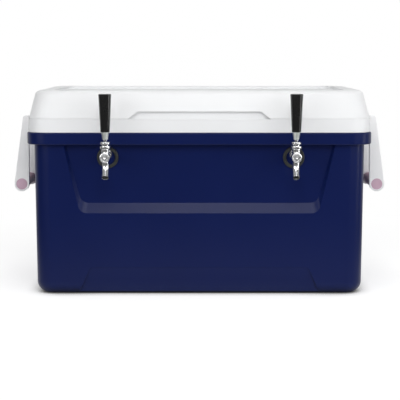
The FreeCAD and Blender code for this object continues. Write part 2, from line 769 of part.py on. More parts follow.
def make_handle(side):
    """Swing-up handle of one side: two tapered arms joined by the grip's core."""
    sign = "-" if side == "left" else ""
    turn = TURNED_ROUND if side == "left" else UP
    arms = []
    for label, face in (("front", "(arm_spread / 2)"), ("rear", "-arm_face")):
        body = document.addObject("PartDesign::Body", "arm_%s_%s" % (label, side))
        outline = sketch(body, "XZ_Plane", body.Name + "_outline", [
            ("arm_inner + arm_lean", "grip_height"), ("grip_x + arm_end_radius", "grip_height"),
            ("arm_inner + arm_top_width", "arm_top"), ("arm_inner", "arm_top")], face + " - arm_thickness")
        pad(body, outline, "arm_thickness")
        level = value("arm_top")
        edge_x = value("arm_inner + arm_top_width")
        fillet(body, "arm_top_round", lambda edge: abs(edge.BoundBox.ZMax - level) < 0.01
               and abs(edge.BoundBox.XMin - edge_x) < 0.01 and edge.BoundBox.XLength < 0.01)
        arms.append(body)
        arms.append(cylinder("arm_end_%s_%s" % (label, side), "arm_end_radius", "arm_thickness", "grip_x",
                             "-(%s - arm_thickness)" % face, "grip_height", TO_FRONT))
    core = cylinder("grip_core_" + side, "grip_core_radius", "arm_spread - arm_thickness", "grip_x",
                    "arm_spread / 2 - arm_thickness / 2", "grip_height", TO_FRONT)
    solid = fuse("handle_solid_" + side, arms + [core])
    holes = [cylinder("handle_bore_" + side, "handle_pin_radius + running_gap", "arm_spread - 2 * pin_cover",
                      "handle_x", "arm_spread / 2 - pin_cover", "handle_pivot_height", TO_FRONT)]
    for label, y in (("front", "-arm_spread / 2 + cap_depth"), ("rear", "arm_spread / 2 + fit")):
        holes.append(cylinder("cap_seat_%s_%s" % (label, side), "grip_radius + fit / 3", "cap_depth + fit",
                              "grip_x", y, "grip_height", TO_FRONT))
    handle = cut("handle_cut_" + side, solid, holes)
    handle.Placement = Placement(Vector(0, 0, 0), turn)
    node("handle_" + side, handle)
    length = "(2 * arm_face - 2 * fit)"
    grip = turned("grip_sleeve_" + side, [
        ("grip_core_radius + fit / 3", "0"), ("grip_radius - grip_edge", "0"), ("grip_radius", "grip_edge"),
        ("grip_radius", length + " - grip_edge"), ("grip_radius - grip_edge", length),
        ("grip_core_radius + fit / 3", length)],
        sign + "grip_x", length + " / 2", "grip_height", TO_FRONT)
    node("handle_grip_" + side, grip)
    profile = [("0", "0"), ("grip_radius", "0"), ("grip_radius", "cap_depth - cap_edge"),
               ("grip_radius - cap_edge", "cap_depth"), ("0", "cap_depth")]
    caps = [turned("cap_%s_%s" % (label, side), profile, sign + "grip_x", y, "grip_height", face)
            for label, y, face in (("front", "-(arm_spread / 2 - cap_depth)", TO_FRONT),
                                   ("rear", "arm_spread / 2 - cap_depth", TO_REAR))]
    node("handle_end_caps_" + side, group("handle_end_caps_" + side, caps))


def make_handle_bracket(side):
    """Bracket on the rim's end: a screwed plate with two ears for the pivot pins."""
    turn = TURNED_ROUND if side == "left" else UP
    sign = "-" if side == "left" else ""
    half = "(arm_face - side_gap)"
    plate = primitive("Box", "bracket_plate_" + side, "rim_length / 2", "-" + half, "rim_bottom + rim_round",
                      Length="bracket_plate", Width="2 * " + half, Height="rim_height - 2 * rim_round")
    pieces = [plate]
    for label, shift in (("front", half), ("rear", "-(%s - ear_thickness)" % half)):
        ear = document.addObject("PartDesign::Body", "ear_%s_%s" % (label, side))
        outline = sketch(ear, "XZ_Plane", ear.Name + "_outline", [
            ("rim_length / 2", "rim_bottom + rim_round"),
            ("rim_length / 2 + bracket_plate", "rim_bottom + rim_round"),
            ("handle_x + ear_radius", "handle_pivot_height"),
            ("handle_x", "handle_pivot_height"),
            ("rim_length / 2", "shell_height - rim_round")], shift + " - ear_thickness")
        pad(ear, outline, "ear_thickness")
        pieces.append(ear)
        pieces.append(cylinder("ear_eye_%s_%s" % (label, side), "ear_radius", "ear_thickness", "handle_x",
                               "-(%s - ear_thickness)" % shift, "handle_pivot_height", TO_FRONT))
    solid = fuse("bracket_solid_" + side, pieces)
    holes = [cylinder("bracket_bore_" + side, "handle_pin_radius + running_gap / 2", "2 * arm_spread",
                      "handle_x", "arm_spread", "handle_pivot_height", TO_FRONT)]
    for i, (y, z) in enumerate(bracket_screw_places()):
        holes.append(cylinder("bracket_plate_hole_%s%d" % (side, i), "screw_radius + fit",
                              "3 * bracket_plate", "rim_length / 2 - bracket_plate", y, z, TO_RIGHT))
    bracket = cut("bracket_cut_" + side, solid, holes)
    bracket.Placement = Placement(Vector(0, 0, 0), turn)
    node("handle_bracket_" + side, bracket)
    pin_length = "(arm_thickness - pin_cover - fit + ear_thickness + side_gap)"
    pin_end = "(arm_spread / 2 - pin_cover - fit)"
    pins = [cylinder("pivot_pin_%s_%s" % (label, side), "handle_pin_radius", pin_length, sign + "handle_x", y,
                     "handle_pivot_height", TO_FRONT)
            for label, y in (("front", "-" + pin_end + " + " + pin_length), ("rear", pin_end))]
    node("handle_pivot_pins_" + side, group("handle_pivot_pins_" + side, pins))


def make_bracket_screws():
    screws = []
    for side, sign, turn in (("left", "-", TO_RIGHT.inverted()), ("right", "", TO_RIGHT)):
        for i, (y, z) in enumerate(bracket_screw_places()):
            screws.append(screw("bracket_screw_%s%d" % (side, i), sign + "(rim_length / 2 + bracket_plate)",
                                y, z, turn))
    node("bracket_screws", group("bracket_screws", screws))


# -------------------------------------------------------------- faucets

def make_shank(side):
    """Threaded shank through the front wall, with its hose barb inside."""
    x = "tap_" + side
    inner = "-(panel_plane - liner_front + tail_length)"
    tail = inner + " - barb_length"
    shank = turned("shank_body_" + side, [
        ("barb_bore_radius", tail), ("barb_radius", tail), ("barb_radius", inner), ("shank_radius", inner),
        ("shank_radius", "0"), ("shoulder_radius", "0"), ("shoulder_radius", "shoulder_height"),
        ("shank_radius", "shoulder_height"), ("shank_radius", "shank_reach"),
        ("shank_bore_radius", "shank_reach"),
        ("shank_bore_radius", inner), ("barb_bore_radius", inner)], x, "-panel_plane", "tap_height", TO_FRONT)
    node("shank_" + side, shank)
    ring = turned("ring_body_" + side, [
        ("ring_hole_radius", "0"), ("ring_radius", "0"), ("ring_radius", "ring_height - ring_edge"),
        ("ring_radius - ring_edge", "ring_height"), ("ring_hole_radius + ring_lip", "ring_height"),
        ("ring_hole_radius", "ring_height - ring_lip")],
        x, "-panel_plane", "tap_height - ring_sag", TO_FRONT)
    node("wall_ring_" + side, ring)
    nut = turned("coupling_body_" + side, [
        ("shank_radius + fit / 3", "-coupling_height / 2"),
        ("coupling_radius - coupling_edge", "-coupling_height / 2"),
        ("coupling_radius", "-coupling_height / 2 + coupling_edge"),
        ("coupling_radius", "coupling_height / 2 - coupling_edge"),
        ("coupling_radius - coupling_edge", "coupling_height / 2"),
        ("shank_radius + fit / 3", "coupling_height / 2")],
        x, "-faucet_back", "tap_height", TO_FRONT)
    node("coupling_nut_" + side, nut)


def make_shank_fixings():
    """Washer and nut of each shank against the liner."""
    washers = []
    nuts = []
    for side in ("left", "right"):
        x = "tap_" + side
        washers.append(turned("shank_washer_" + side,
                              tube("washer_radius", "shank_radius + fit / 3", "0", "washer_height"),
                              x, "-liner_front", "tap_height", TO_REAR))
        nut = primitive("Prism", "shank_nut_hex_" + side, x, "-liner_front + washer_height",
                        "tap_height", TO_REAR, Circumradius="nut_radius", Height="nut_height")
        nut.Polygon = 6
        bore = cylinder("shank_nut_bore_" + side, "shank_radius + fit / 3", "2 * nut_height", x,
                        "-liner_front", "tap_height", TO_REAR)
        nuts.append(cut("shank_nut_" + side, nut, [bore]))
    node("shank_washers", group("shank_washers", washers))
    node("shank_nuts", group("shank_nuts", nuts))


def spout_solid(name, radius, end):
    """Spout down from the barrel, bent forward at its end, at the tap's centre."""
    drop = cylinder(name + "_drop", radius, "spout_drop", "0", "0", "-spout_drop")
    bend = primitive("Torus", name + "_bend", "0", "-spout_bend_radius", "-spout_drop",
                     Rotation(Vector(0, 1, 0), Vector(0, 0, -1), Vector(-1, 0, 0)),
                     Radius1="spout_bend_radius", Radius2=radius, Angle3="spout_tilt")
    lean = Rotation(Vector(1, 0, 0), 180 - value("spout_tilt"))
    nose = cylinder(name + "_nose", radius, "spout_end" + end, "0",
                    "-spout_bend_radius * (1 - cos(spout_tilt))",
                    "-spout_drop - spout_bend_radius * sin(spout_tilt)", lean)
    return fuse(name, [drop, bend, nose])


def make_faucet(side):
    """Faucet of one side, built at the crossing of shank axis and lever axis."""
    x = "tap_" + side
    back = "lever_offset"
    tail = cylinder("tail_" + side, "shank_radius", "faucet_tail + fit", "0", back, "0", TO_FRONT)
    barrel = cylinder("barrel_" + side, "barrel_radius", "barrel_length", "0", back + " - faucet_tail", "0",
                      TO_FRONT)
    neck = cylinder("neck_" + side, "neck_radius", "neck_top")
    outside = spout_solid("spout_" + side, "spout_radius", "")
    inside = spout_solid("spout_bore_" + side, "spout_bore_radius", " + fit")
    for spout in (outside, inside):
        place(spout, y="lever_offset - spout_offset")
    solid = fuse("faucet_solid_" + side, [tail, barrel, neck, outside])
    seat_front = back + " - seat_offset - seat_height"
    rear_bore = cylinder("rear_bore_" + side, "barrel_bore_radius", "seat_offset + fit", "0",
                         back + " + fit", "0", TO_FRONT)
    seat_bore = cylinder("seat_bore_" + side, "seat_radius", "barrel_length / 2", "0", back + " - fit", "0",
                         TO_FRONT)
    front_bore = cylinder("front_bore_" + side, "barrel_bore_radius",
                          "faucet_tail + barrel_length - seat_offset - seat_height + fit", "0", seat_front,
                          "0", TO_FRONT)
    neck_bore = cylinder("neck_bore_" + side, "neck_bore_radius", "neck_top")
    slot_width = "(tip_radius + fit)"
    slot = primitive("Box", "lever_slot_" + side, "-" + slot_width, Length="2 * " + slot_width,
                     Width="lever_arm * sin(lever_swing) + tip_radius + fit", Height="barrel_radius")
    body = cut("faucet_cut_" + side, solid, [rear_bore, seat_bore, front_bore, neck_bore, slot, inside])
    node("faucet_body_" + side, place(body, x, "-lever_y", "tap_height"))

    plug = turned("plug_body_" + side, [
        ("0", "-plug_height"), ("barrel_bore_radius - fit / 3", "-plug_height"),
        ("barrel_bore_radius - fit / 3", "0"), ("plug_radius", "0"),
        ("plug_radius", "plug_height - plug_edge"),
        ("plug_radius - plug_edge", "plug_height"), ("plug_dish_radius", "plug_height"),
        ("plug_dish_radius - dish_slope", "plug_height - plug_dish"),
        ("plug_button_radius", "plug_height - plug_dish"), ("plug_button_radius - dish_slope", "plug_height"),
        ("0", "plug_height")], x, "-barrel_front", "tap_height", TO_FRONT)
    node("faucet_plug_" + side, plug)
    make_bonnet(side, x)
    make_lever(side, x)
    make_shaft(side, x)


def make_bonnet(side, x):
    """Two-ringed bonnet that holds the lever's ball."""
    low = "(neck_top - pivot_height)"
    ring = "(neck_top - pivot_height + bonnet_ring)"
    waist = "(neck_top - pivot_height + bonnet_ring + bonnet_waist)"
    top = "(neck_top - pivot_height + bonnet_ring + bonnet_waist + bonnet_top_ring)"
    skirt = "(neck_bore_radius - fit / 2)"
    body = turned("bonnet_turned_" + side, [
        ("0", low + " - bonnet_skirt"), (skirt, low + " - bonnet_skirt"), (skirt, low),
        ("bonnet_radius - bonnet_round", low),
        ("bonnet_radius", low + " + bonnet_round"), ("bonnet_radius", ring + " - bonnet_round"),
        ("bonnet_radius - bonnet_round", ring), ("bonnet_waist_radius", ring), ("bonnet_waist_radius", waist),
        ("bonnet_top_radius - bonnet_round", waist), ("bonnet_top_radius", waist + " + bonnet_round"),
        ("bonnet_top_radius", top + " - bonnet_round"), ("bonnet_top_radius - bonnet_round", top),
        ("0", top)])
    socket = primitive("Sphere", "ball_socket_" + side, Radius="ball_radius + fit")
    throat_radius = "lever_neck_radius / cos(lever_swing) + fit"
    throat = primitive("Cone", "bonnet_throat_" + side, Radius1=throat_radius,
                       Radius2=throat_radius + " + (%s + fit) * tan(lever_swing)" % top,
                       Height=top + " + fit")
    bonnet = cut("bonnet_cut_" + side, body, [socket, throat])
    node("faucet_bonnet_" + side, place(bonnet, x, "-lever_y", "lever_pivot_height"))


def make_lever(side, x):
    """Ball lever with its ferrule and tap handle; its pivot is the ball's centre."""
    pieces = [
        primitive("Sphere", "lever_tip_" + side, z="-lever_arm", Radius="tip_radius"),
        cylinder("lever_foot_" + side, "lever_foot_radius", "lever_arm", z="-lever_arm"),
        primitive("Sphere", "lever_ball_" + side, Radius="ball_radius"),
        cylinder("lever_neck_" + side, "lever_neck_radius", "ferrule_rise"),
        cylinder("lever_thread_" + side, "thread_radius", "ferrule_height + thread_reach", z="ferrule_rise"),
    ]
    stem = fuse("lever_solid_" + side, pieces)
    node("lever_stem_" + side, place(stem, x, "-lever_y", "lever_pivot_height"))
    bore = "thread_radius + fit / 3"
    ferrule = turned("ferrule_body_" + side, [
        (bore, "0"), ("ferrule_bottom_radius - ferrule_edge", "0"), ("ferrule_bottom_radius", "ferrule_edge"),
        ("ferrule_top_radius", "ferrule_height"), (bore, "ferrule_height")],
        x, "-lever_y", "lever_pivot_height + ferrule_rise", UP)
    node("tap_ferrule_" + side, ferrule)
    handle = turned("tap_handle_body_" + side, [
        (bore, "0"), ("tap_handle_bottom_radius - tap_handle_edge", "0"),
        ("tap_handle_bottom_radius", "tap_handle_edge"),
        ("tap_handle_top_radius", "tap_handle_height - tap_handle_round"),
        ("tap_handle_top_radius - tap_handle_round", "tap_handle_height"), ("0", "tap_handle_height"),
        ("0", "thread_reach + fit"), (bore, "thread_reach + fit")],
        x, "-lever_y", "lever_pivot_height + ferrule_rise + ferrule_height", UP)
    node("tap_handle_" + side, handle)


def make_shaft(side, x):
    """Valve shaft: the lever's tip moves it along the barrel, off its seat."""
    guide = cylinder("shaft_guide_" + side, "shaft_radius", "shaft_guide", "0", "shaft_guide / 2", "0",
                     TO_FRONT)
    seal_face = "(lever_offset - seat_offset + fit)"
    rod = cylinder("shaft_rod_" + side, "shaft_rod_radius", seal_face, "0", seal_face, "0", TO_FRONT)
    seal = cylinder("shaft_seal_" + side, "shaft_radius", "shaft_seal", "0", seal_face + " + shaft_seal", "0",
                    TO_FRONT)
    slot_depth = "(lever_arm - pivot_height + tip_radius + fit)"
    slot = cylinder("shaft_slot_" + side, "tip_radius + 2 * fit", "2 * shaft_radius", z="-" + slot_depth)
    shaft = cut("shaft_cut_" + side, fuse("shaft_solid_" + side, [guide, rod, seal]), [slot])
    node("valve_shaft_" + side, place(shaft, x, "-lever_y", "tap_height"))


# ------------------------------------------------- cold plate, lines, rear

def port_places():
    """Centres of the cold plate's ports: outlets in front, inlets behind."""
    front = "-(plate_depth / 2 - port_inset_front)"
    rear = "plate_depth / 2 - port_inset_rear"
    inlet = "(inlet_x - inlet_port_shift)"
    return (("out_left", "tap_left + outlet_port_shift", front),
            ("out_right", "tap_right - outlet_port_shift", front),
            ("in_left", "-" + inlet, rear), ("in_right", inlet, rear))


def make_cold_plate():
    plate = block("plate_block", "plate_length", "plate_depth", "plate_height", base="plate_base",
                  corner="plate_corner")
    fillet(plate, "plate_round", lies_at("z", value("plate_height")))
    pieces = [plate]
    for i, (sx, sy) in enumerate((("-", "-"), ("", "-"), ("", ""), ("-", ""))):
        pieces.append(cylinder("plate_leg%d" % i, "plate_foot_radius", "plate_foot + plate_round",
                               sx + "(plate_length / 2 - plate_corner)",
                               sy + "(plate_depth / 2 - plate_corner)", "liner_base"))
    node("cold_plate", fuse("plate_solid", pieces))
    profile = [("barb_bore_radius", "0"), ("port_radius", "0"), ("port_radius", "port_height"),
               ("barb_radius", "port_height"), ("barb_radius", "port_height + barb_length"),
               ("barb_bore_radius", "port_height + barb_length")]
    fittings = [turned("port_" + label, profile, x, y, "plate_top") for label, x, y in port_places()]
    node("plate_fittings", group("plate_fittings", fittings))


def line_route(points):
    """Straight runs joined by tangent arcs; each arc is as large as its runs allow."""
    edges = []
    start = points[0]
    radii = []
    for before, corner, after in zip(points, points[1:], points[2:]):
        towards = (before - corner).normalize()
        away = (after - corner).normalize()
        half_turn = (math.pi - towards.getAngle(away)) / 2
        reach = 0.45 * min((corner - before).Length, (after - corner).Length)
        radii.append(reach / math.tan(half_turn))
        entry = corner + towards * reach
        leave = corner + away * reach
        bisector = (towards + away).normalize()
        middle = corner + bisector * (radii[-1] / math.cos(half_turn) - radii[-1])
        edges.append(Part.LineSegment(start, entry).toShape())
        edges.append(Part.Arc(entry, middle, leave).toShape())
        start = leave
    edges.append(Part.LineSegment(start, points[-1]).toShape())
    return Part.Wire(edges), radii


def make_hose(name, points):
    """Beer line pushed over the barbs at both of its ends."""
    spine, radii = line_route(points)
    outer = value("hose_radius")
    inner = value("hose_bore_radius")
    axis = points[1] - points[0]
    solids = []
    for radius in (outer, inner):
        ring = Part.Wire(Part.Circle(points[0], axis, radius).toShape())
        solids.append(spine.makePipeShell([ring], True, False))
    hose = document.addObject("Part::Feature", name + "_line")
    hose.Shape = solids[0].cut(solids[1])
    hose.Placement = Placement()
    expected = math.pi * (outer ** 2 - inner ** 2) * spine.Length
    if abs(hose.Shape.Volume / expected - 1) > 0.01:
        raise RuntimeError(name + " has the wrong volume")
    print("%s length %.0f mm, bend radii %s" % (name, spine.Length, ", ".join("%.0f" % r for r in radii)))
    node(name, hose)
    return [(points[0], points[1] - points[0]), (points[-1], points[-2] - points[-1])]


def make_lines():
    """Outlet lines to the shanks and inlet lines from the rear, and their clamps."""
    ends = []
    ports = {label: (value(x), value(y)) for label, x, y in port_places()}
    for side, sign in (("left", -1), ("right", 1)):
        for line, hole_x, hole_z, forward, port in (
                ("outlet", value("tap_" + side), "tap_height", -1, "out_"),
                ("inlet", sign * value("inlet_x"), "inlet_height", 1, "in_")):
            port_x, port_y = ports[port + side]
            hole_z = value(hole_z)
            hole_y = forward * value("liner_front - tail_length")
            run = forward * value("line_run")
            dive = value("line_dive")
            low = value("port_top")
            bow_y = port_y - forward * value(line + "_line_bow")
            ends += make_hose("%s_line_%s" % (line, side), [
                Vector(hole_x, hole_y, hole_z), Vector(hole_x, hole_y - run, hole_z),
                Vector(hole_x, hole_y - run - forward * dive, hole_z - dive),
                Vector(hole_x - sign * value(line + "_line_lean"), bow_y, low + value(line + "_line_climb")),
                Vector(port_x, port_y, low + value(line + "_line_rise")), Vector(port_x, port_y, low)])
    clamps = []
    for number, (end, inward) in enumerate(ends):
        direction = inward.normalize()
        clamp = turned("clamp%d" % number, tube("clamp_radius", "hose_radius + fit / 3", "0", "clamp_width"))
        turn = Rotation(Vector(0, 0, 1), direction)
        clamp.Placement = Placement(end + direction * value("clamp_inset"), turn)
        clamps.append(clamp)
    node("hose_clamps", group("hose_clamps", clamps))


def make_inlets():
    """Bulkhead fittings of the two beer inlets in the rear wall."""
    fittings = []
    nuts = []
    for side, sign in (("left", "-"), ("right", "")):
        x = sign + "inlet_x"
        inner = "-(boss_plane - liner_front + tail_length)"
        fittings.append(turned("inlet_fitting_" + side, [
            ("barb_bore_radius", inner + " - barb_length"), ("barb_radius", inner + " - barb_length"),
            ("barb_radius", inner), ("inlet_radius", inner), ("inlet_radius", "0"),
            ("inlet_flange_radius", "0"),
            ("inlet_flange_radius", "inlet_flange"), ("inlet_radius", "inlet_flange"),
            ("inlet_radius", "inlet_flange + inlet_stub"),
            ("inlet_radius - inlet_wall", "inlet_flange + inlet_stub"),
            ("inlet_radius - inlet_wall", "inlet_flange"), ("barb_bore_radius", "inlet_flange")],
            x, "boss_plane", "inlet_height", TO_REAR))
        hexagon = primitive("Prism", "inlet_nut_hex_" + side, x, "liner_front", "inlet_height", TO_FRONT,
                            Circumradius="inlet_nut_radius", Height="nut_height")
        hexagon.Polygon = 6
        bore = cylinder("inlet_nut_bore_" + side, "inlet_radius + fit / 3", "2 * nut_height", x,
                        "liner_front + fit", "inlet_height", TO_FRONT)
        nuts.append(cut("inlet_nut_" + side, hexagon, [bore]))
    node("inlet_fittings", group("inlet_fittings", fittings))
    node("inlet_nuts", group("inlet_nuts", nuts))


def make_drain():
    """Drain through the rear wall near the floor, with its nut, seal and cap."""
    inner = "-(boss_plane - liner_front)"
    spout = turned("drain_body", tube("drain_radius", "drain_bore_radius", inner, "drain_reach"),
                   "drain_x", "boss_plane", "drain_height", TO_REAR)
    node("drain_spout", spout)
    seal = turned("drain_seal_body", tube("drain_nut_radius", "drain_radius + fit / 3", "0", "washer_height"),
                  "drain_x", "boss_plane", "drain_height", TO_REAR)
    node("drain_seal", seal)
    hexagon = primitive("Prism", "drain_nut_hex", "drain_x", "boss_plane + washer_height",
                        "drain_height", TO_REAR, Circumradius="drain_nut_radius", Height="drain_nut_height")
    hexagon.Polygon = 6
    bore = cylinder("drain_nut_bore", "drain_radius + fit / 3", "3 * drain_nut_height", "drain_x",
                    "boss_plane", "drain_height", TO_REAR)
    node("drain_nut", cut("drain_nut_cut", hexagon, [bore]))
    mouth = "(drain_radius + running_gap)"
    low = "(drain_reach - cap_skirt + cap_wall)"
    rim = mouth + " + cap_wall"
    cap = turned("drain_cap_body", [
        (mouth, low), (rim, low), (rim, "drain_reach + cap_wall"),
        (rim + " - cap_chamfer", "drain_reach + cap_wall + cap_chamfer"),
        ("0", "drain_reach + cap_wall + cap_chamfer"), ("0", "drain_reach + fit"),
        (mouth, "drain_reach + fit")],
        "drain_x", "boss_plane", "drain_height", TO_REAR)
    node("drain_cap", cap)


# ---------------------------------------------------------------- build

def build():
    node("body_shell", make_body_shell())
    node("body_foam", make_body_foam())
    node("body_liner", make_body_liner())
    node("lid_shell", make_lid_shell())
    node("lid_liner", make_lid_liner())
    node("lid_foam", make_lid_foam())
    make_hinges()
    for side in ("left", "right"):
        make_handle(side)
        make_handle_bracket(side)
        make_shank(side)
        make_faucet(side)
    make_bracket_screws()
    make_shank_fixings()
    make_cold_plate()
    make_lines()
    make_inlets()
    make_drain()


def check_document():
    for item in document.Objects:
        if "Invalid" in item.State or "Error" in item.State:
            raise RuntimeError("%s failed: %s" % (item.Name, item.State))
    for name, item in node_objects.items():
        if item.Shape.isNull() or not item.Shape.isValid() or not item.Shape.Solids:
            raise RuntimeError(name + " has no valid solid")


build()
document.recompute()
check_document()
os.makedirs("parts", exist_ok=True)
for name, item in node_objects.items():
    item.Shape.exportStep(os.path.join("parts", name + ".step"))
print("%d sub-parts written" % len(node_objects))
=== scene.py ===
import json
import math

import bpy
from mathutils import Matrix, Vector


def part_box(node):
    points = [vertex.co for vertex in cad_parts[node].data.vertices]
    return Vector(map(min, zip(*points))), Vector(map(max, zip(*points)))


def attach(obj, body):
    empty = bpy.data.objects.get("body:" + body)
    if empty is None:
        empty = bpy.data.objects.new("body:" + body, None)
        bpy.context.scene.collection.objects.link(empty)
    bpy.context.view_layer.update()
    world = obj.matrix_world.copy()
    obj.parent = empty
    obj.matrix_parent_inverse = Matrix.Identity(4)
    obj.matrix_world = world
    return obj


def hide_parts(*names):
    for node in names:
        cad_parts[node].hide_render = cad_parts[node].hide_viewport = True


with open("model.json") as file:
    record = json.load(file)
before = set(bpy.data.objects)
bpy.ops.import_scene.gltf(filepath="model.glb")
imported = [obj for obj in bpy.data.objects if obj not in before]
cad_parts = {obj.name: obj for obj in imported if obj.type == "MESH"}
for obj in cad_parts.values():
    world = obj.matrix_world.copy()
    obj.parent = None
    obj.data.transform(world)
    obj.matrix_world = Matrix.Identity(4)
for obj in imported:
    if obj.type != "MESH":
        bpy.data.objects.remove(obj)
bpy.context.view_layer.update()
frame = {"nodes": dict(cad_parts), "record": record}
nodes = frame["nodes"]
bpy.context.scene.view_settings.view_transform = "Standard"
print("frame loaded")

studio = {
    "cameraPlace": (0.0015, -2.636, 0.504),
    "aim": (0.0015, -0.186, 0.2002),
    "lens": 106.6,
    "sensor": 36.0,
    "clipEnd": 100.0,
    "floorSize": 60.0,
    "floorColour": (0.66, 0.66, 0.665, 1.0),
    "floorGlow": 0.62,
    "fadeStart": 0.40,          # metres from the chest where the paper starts to burn out to white
    "fadeEnd": 1.15,
    "contactColour": (0.10, 0.10, 0.10, 1.0),
    "contactReach": 0.045,      # how far the painted contact shadow under the foot reaches
    "contactOpen": 0.9,         # share of open sky at which that painted shadow has faded out
    "contactSamples": 8,
    "shineBack": 0.85,          # how much of the white backdrop shows in metal
    "shineFront": 0.09,         # and how much of the darker room behind the camera
    "roomEnd": 0.1,             # a view this far towards the back starts to leave the room
    "backdropStart": 0.8,       # and this far it shows nothing but backdrop
    "worldLight": 0.22,
    "worldHigh": (1.0, 1.0, 1.0, 1.0),
    "worldLow": (0.60, 0.61, 0.63, 1.0),
    "lowEnd": -0.2,             # the low tint ends at this upward slope of the view
    "highStart": 0.9,           # and the high one is whole from this slope on
}
lamps = [
    # name, place, target, width, height, watts
    ("keyBox", (0.12, -2.35, 1.78), (0.0, 0.0, 0.22), 1.3, 0.95, 20.5),
    ("leftBox", (-1.80, -2.1, 0.90), (0.0, 0.0, 0.24), 1.7, 1.0, 18.5),
    ("rightBox", (1.80, -2.1, 0.90), (0.0, 0.0, 0.24), 1.7, 1.0, 19.5),
    ("rightStrip", (2.3, -0.62, 0.5), (0.0, -0.2, 0.3), 0.26, 1.2, 8.0),
    ("frontStrip", (0.0, -1.3, 2.3), (0.0, -0.24, 0.27), 0.22, 1.6, 4.0),
    ("topBox", (0.0, 0.4, 2.4), (0.0, 0.1, 0.2), 2.2, 1.2, 11.0),
]


def aimAt(thing, place, target):
    thing.location = place
    thing.rotation_euler = (Vector(target) - Vector(place)).to_track_quat("-Z", "Y").to_euler()


def makeCamera():
    data = bpy.data.cameras.new("camera")
    data.lens = studio["lens"]
    data.sensor_width = studio["sensor"]
    data.clip_end = studio["clipEnd"]
    camera = bpy.data.objects.new("camera", data)
    bpy.context.scene.collection.objects.link(camera)
    aimAt(camera, studio["cameraPlace"], studio["aim"])
    bpy.context.scene.camera = camera


def makeLamps():
    for name, place, target, width, height, watts in lamps:
        data = bpy.data.lights.new(name, "AREA")
        data.shape = "RECTANGLE"
        data.size = width
        data.size_y = height
        data.energy = watts
        lamp = bpy.data.objects.new(name, data)
        bpy.context.scene.collection.objects.link(lamp)
        aimAt(lamp, place, target)


class Wire:
    # a number socket that can be used in arithmetic
    def __init__(self, net, socket):
        self.net = net
        self.socket = socket

    def __add__(self, other):
        return self.net.math("ADD", self, other)

    def __radd__(self, other):
        return self.net.math("ADD", other, self)

    def __sub__(self, other):
        return self.net.math("SUBTRACT", self, other)

    def __rsub__(self, other):
        return self.net.math("SUBTRACT", other, self)

    def __mul__(self, other):
        return self.net.math("MULTIPLY", self, other)

    def __rmul__(self, other):
        return self.net.math("MULTIPLY", other, self)

    def most(self, other):
        return self.net.math("MAXIMUM", self, other)


class Net:
    # one material's or world's node tree
    def __init__(self, owner):
        owner.use_nodes = True
        self.tree = owner.node_tree
        self.tree.nodes.clear()

    def node(self, kind, settings=None, **sockets):
        made = self.tree.nodes.new(kind)
        for name, setting in (settings or {}).items():
            setattr(made, name, setting)
        for name, given in sockets.items():
            label = name.replace("_", " ")
            key = int(label[2:]) if label.startswith("in") and label[2:].isdigit() else label
            self.plug(made.inputs[key], given)
        return made

    def plug(self, socket, given):
        if isinstance(given, Wire):
            given = given.socket
        if isinstance(given, bpy.types.NodeSocket):
            self.tree.links.new(given, socket)
        else:
            socket.default_value = given

    def wire(self, made, output=0):
        return Wire(self, made.outputs[output])

    def math(self, operation, a, b):
        return self.wire(self.node("ShaderNodeMath", {"operation": operation}, in0=a, in1=b))

    def objectPlace(self):
        return self.node("ShaderNodeTexCoord").outputs["Object"]

    def along(self, axis):
        split = self.node("ShaderNodeSeparateXYZ", None, Vector=self.objectPlace())
        return self.wire(split, axis)

    def seenAsBackground(self, share):
        # 1 for what the camera sees itself, the share for what polished metal and clear hose show of it
        path = self.node("ShaderNodeLightPath").outputs
        camera, glossy, through = (Wire(self, path[ray + " Ray"]) for ray in ("Is Camera", "Is Glossy",
                                                                              "Is Transmission"))
        return camera.most(glossy.most(through) * share)

    def noise(self, place, scale, detail=2.0, roughness=0.5):
        made = self.node("ShaderNodeTexNoise", None, Vector=place, Scale=scale, Detail=detail, Roughness=roughness)
        return self.wire(made, "Fac")

    def cells(self, place, scale):
        return self.wire(self.node("ShaderNodeTexVoronoi", {"feature": "F1"}, Vector=place, Scale=scale), "Distance")

    def stretched(self, place, scale):
        return self.node("ShaderNodeMapping", None, Vector=place, Scale=scale).outputs["Vector"]

    def band(self, value, low, high):
        made = self.node("ShaderNodeMapRange", {"interpolation_type": "SMOOTHSTEP"}, Value=value,
                         From_Min=low, From_Max=high)
        return self.wire(made)

    def between(self, amount, low, high):
        # the low number at 0 and the high one at 1
        return low + (high - low) * amount

    def mixColour(self, amount, a, b):
        made = self.node("ShaderNodeMix", {"data_type": "RGBA"}, in0=amount, in6=a, in7=b)
        return made.outputs[2]

    def bump(self, height, distance, strength):
        made = self.node("ShaderNodeBump", None, Height=height, Distance=distance, Strength=strength)
        return made.outputs["Normal"]

    def surface(self, **sockets):
        shader = self.node("ShaderNodeBsdfPrincipled", None, **sockets)
        self.node("ShaderNodeOutputMaterial", None, Surface=shader.outputs[0])


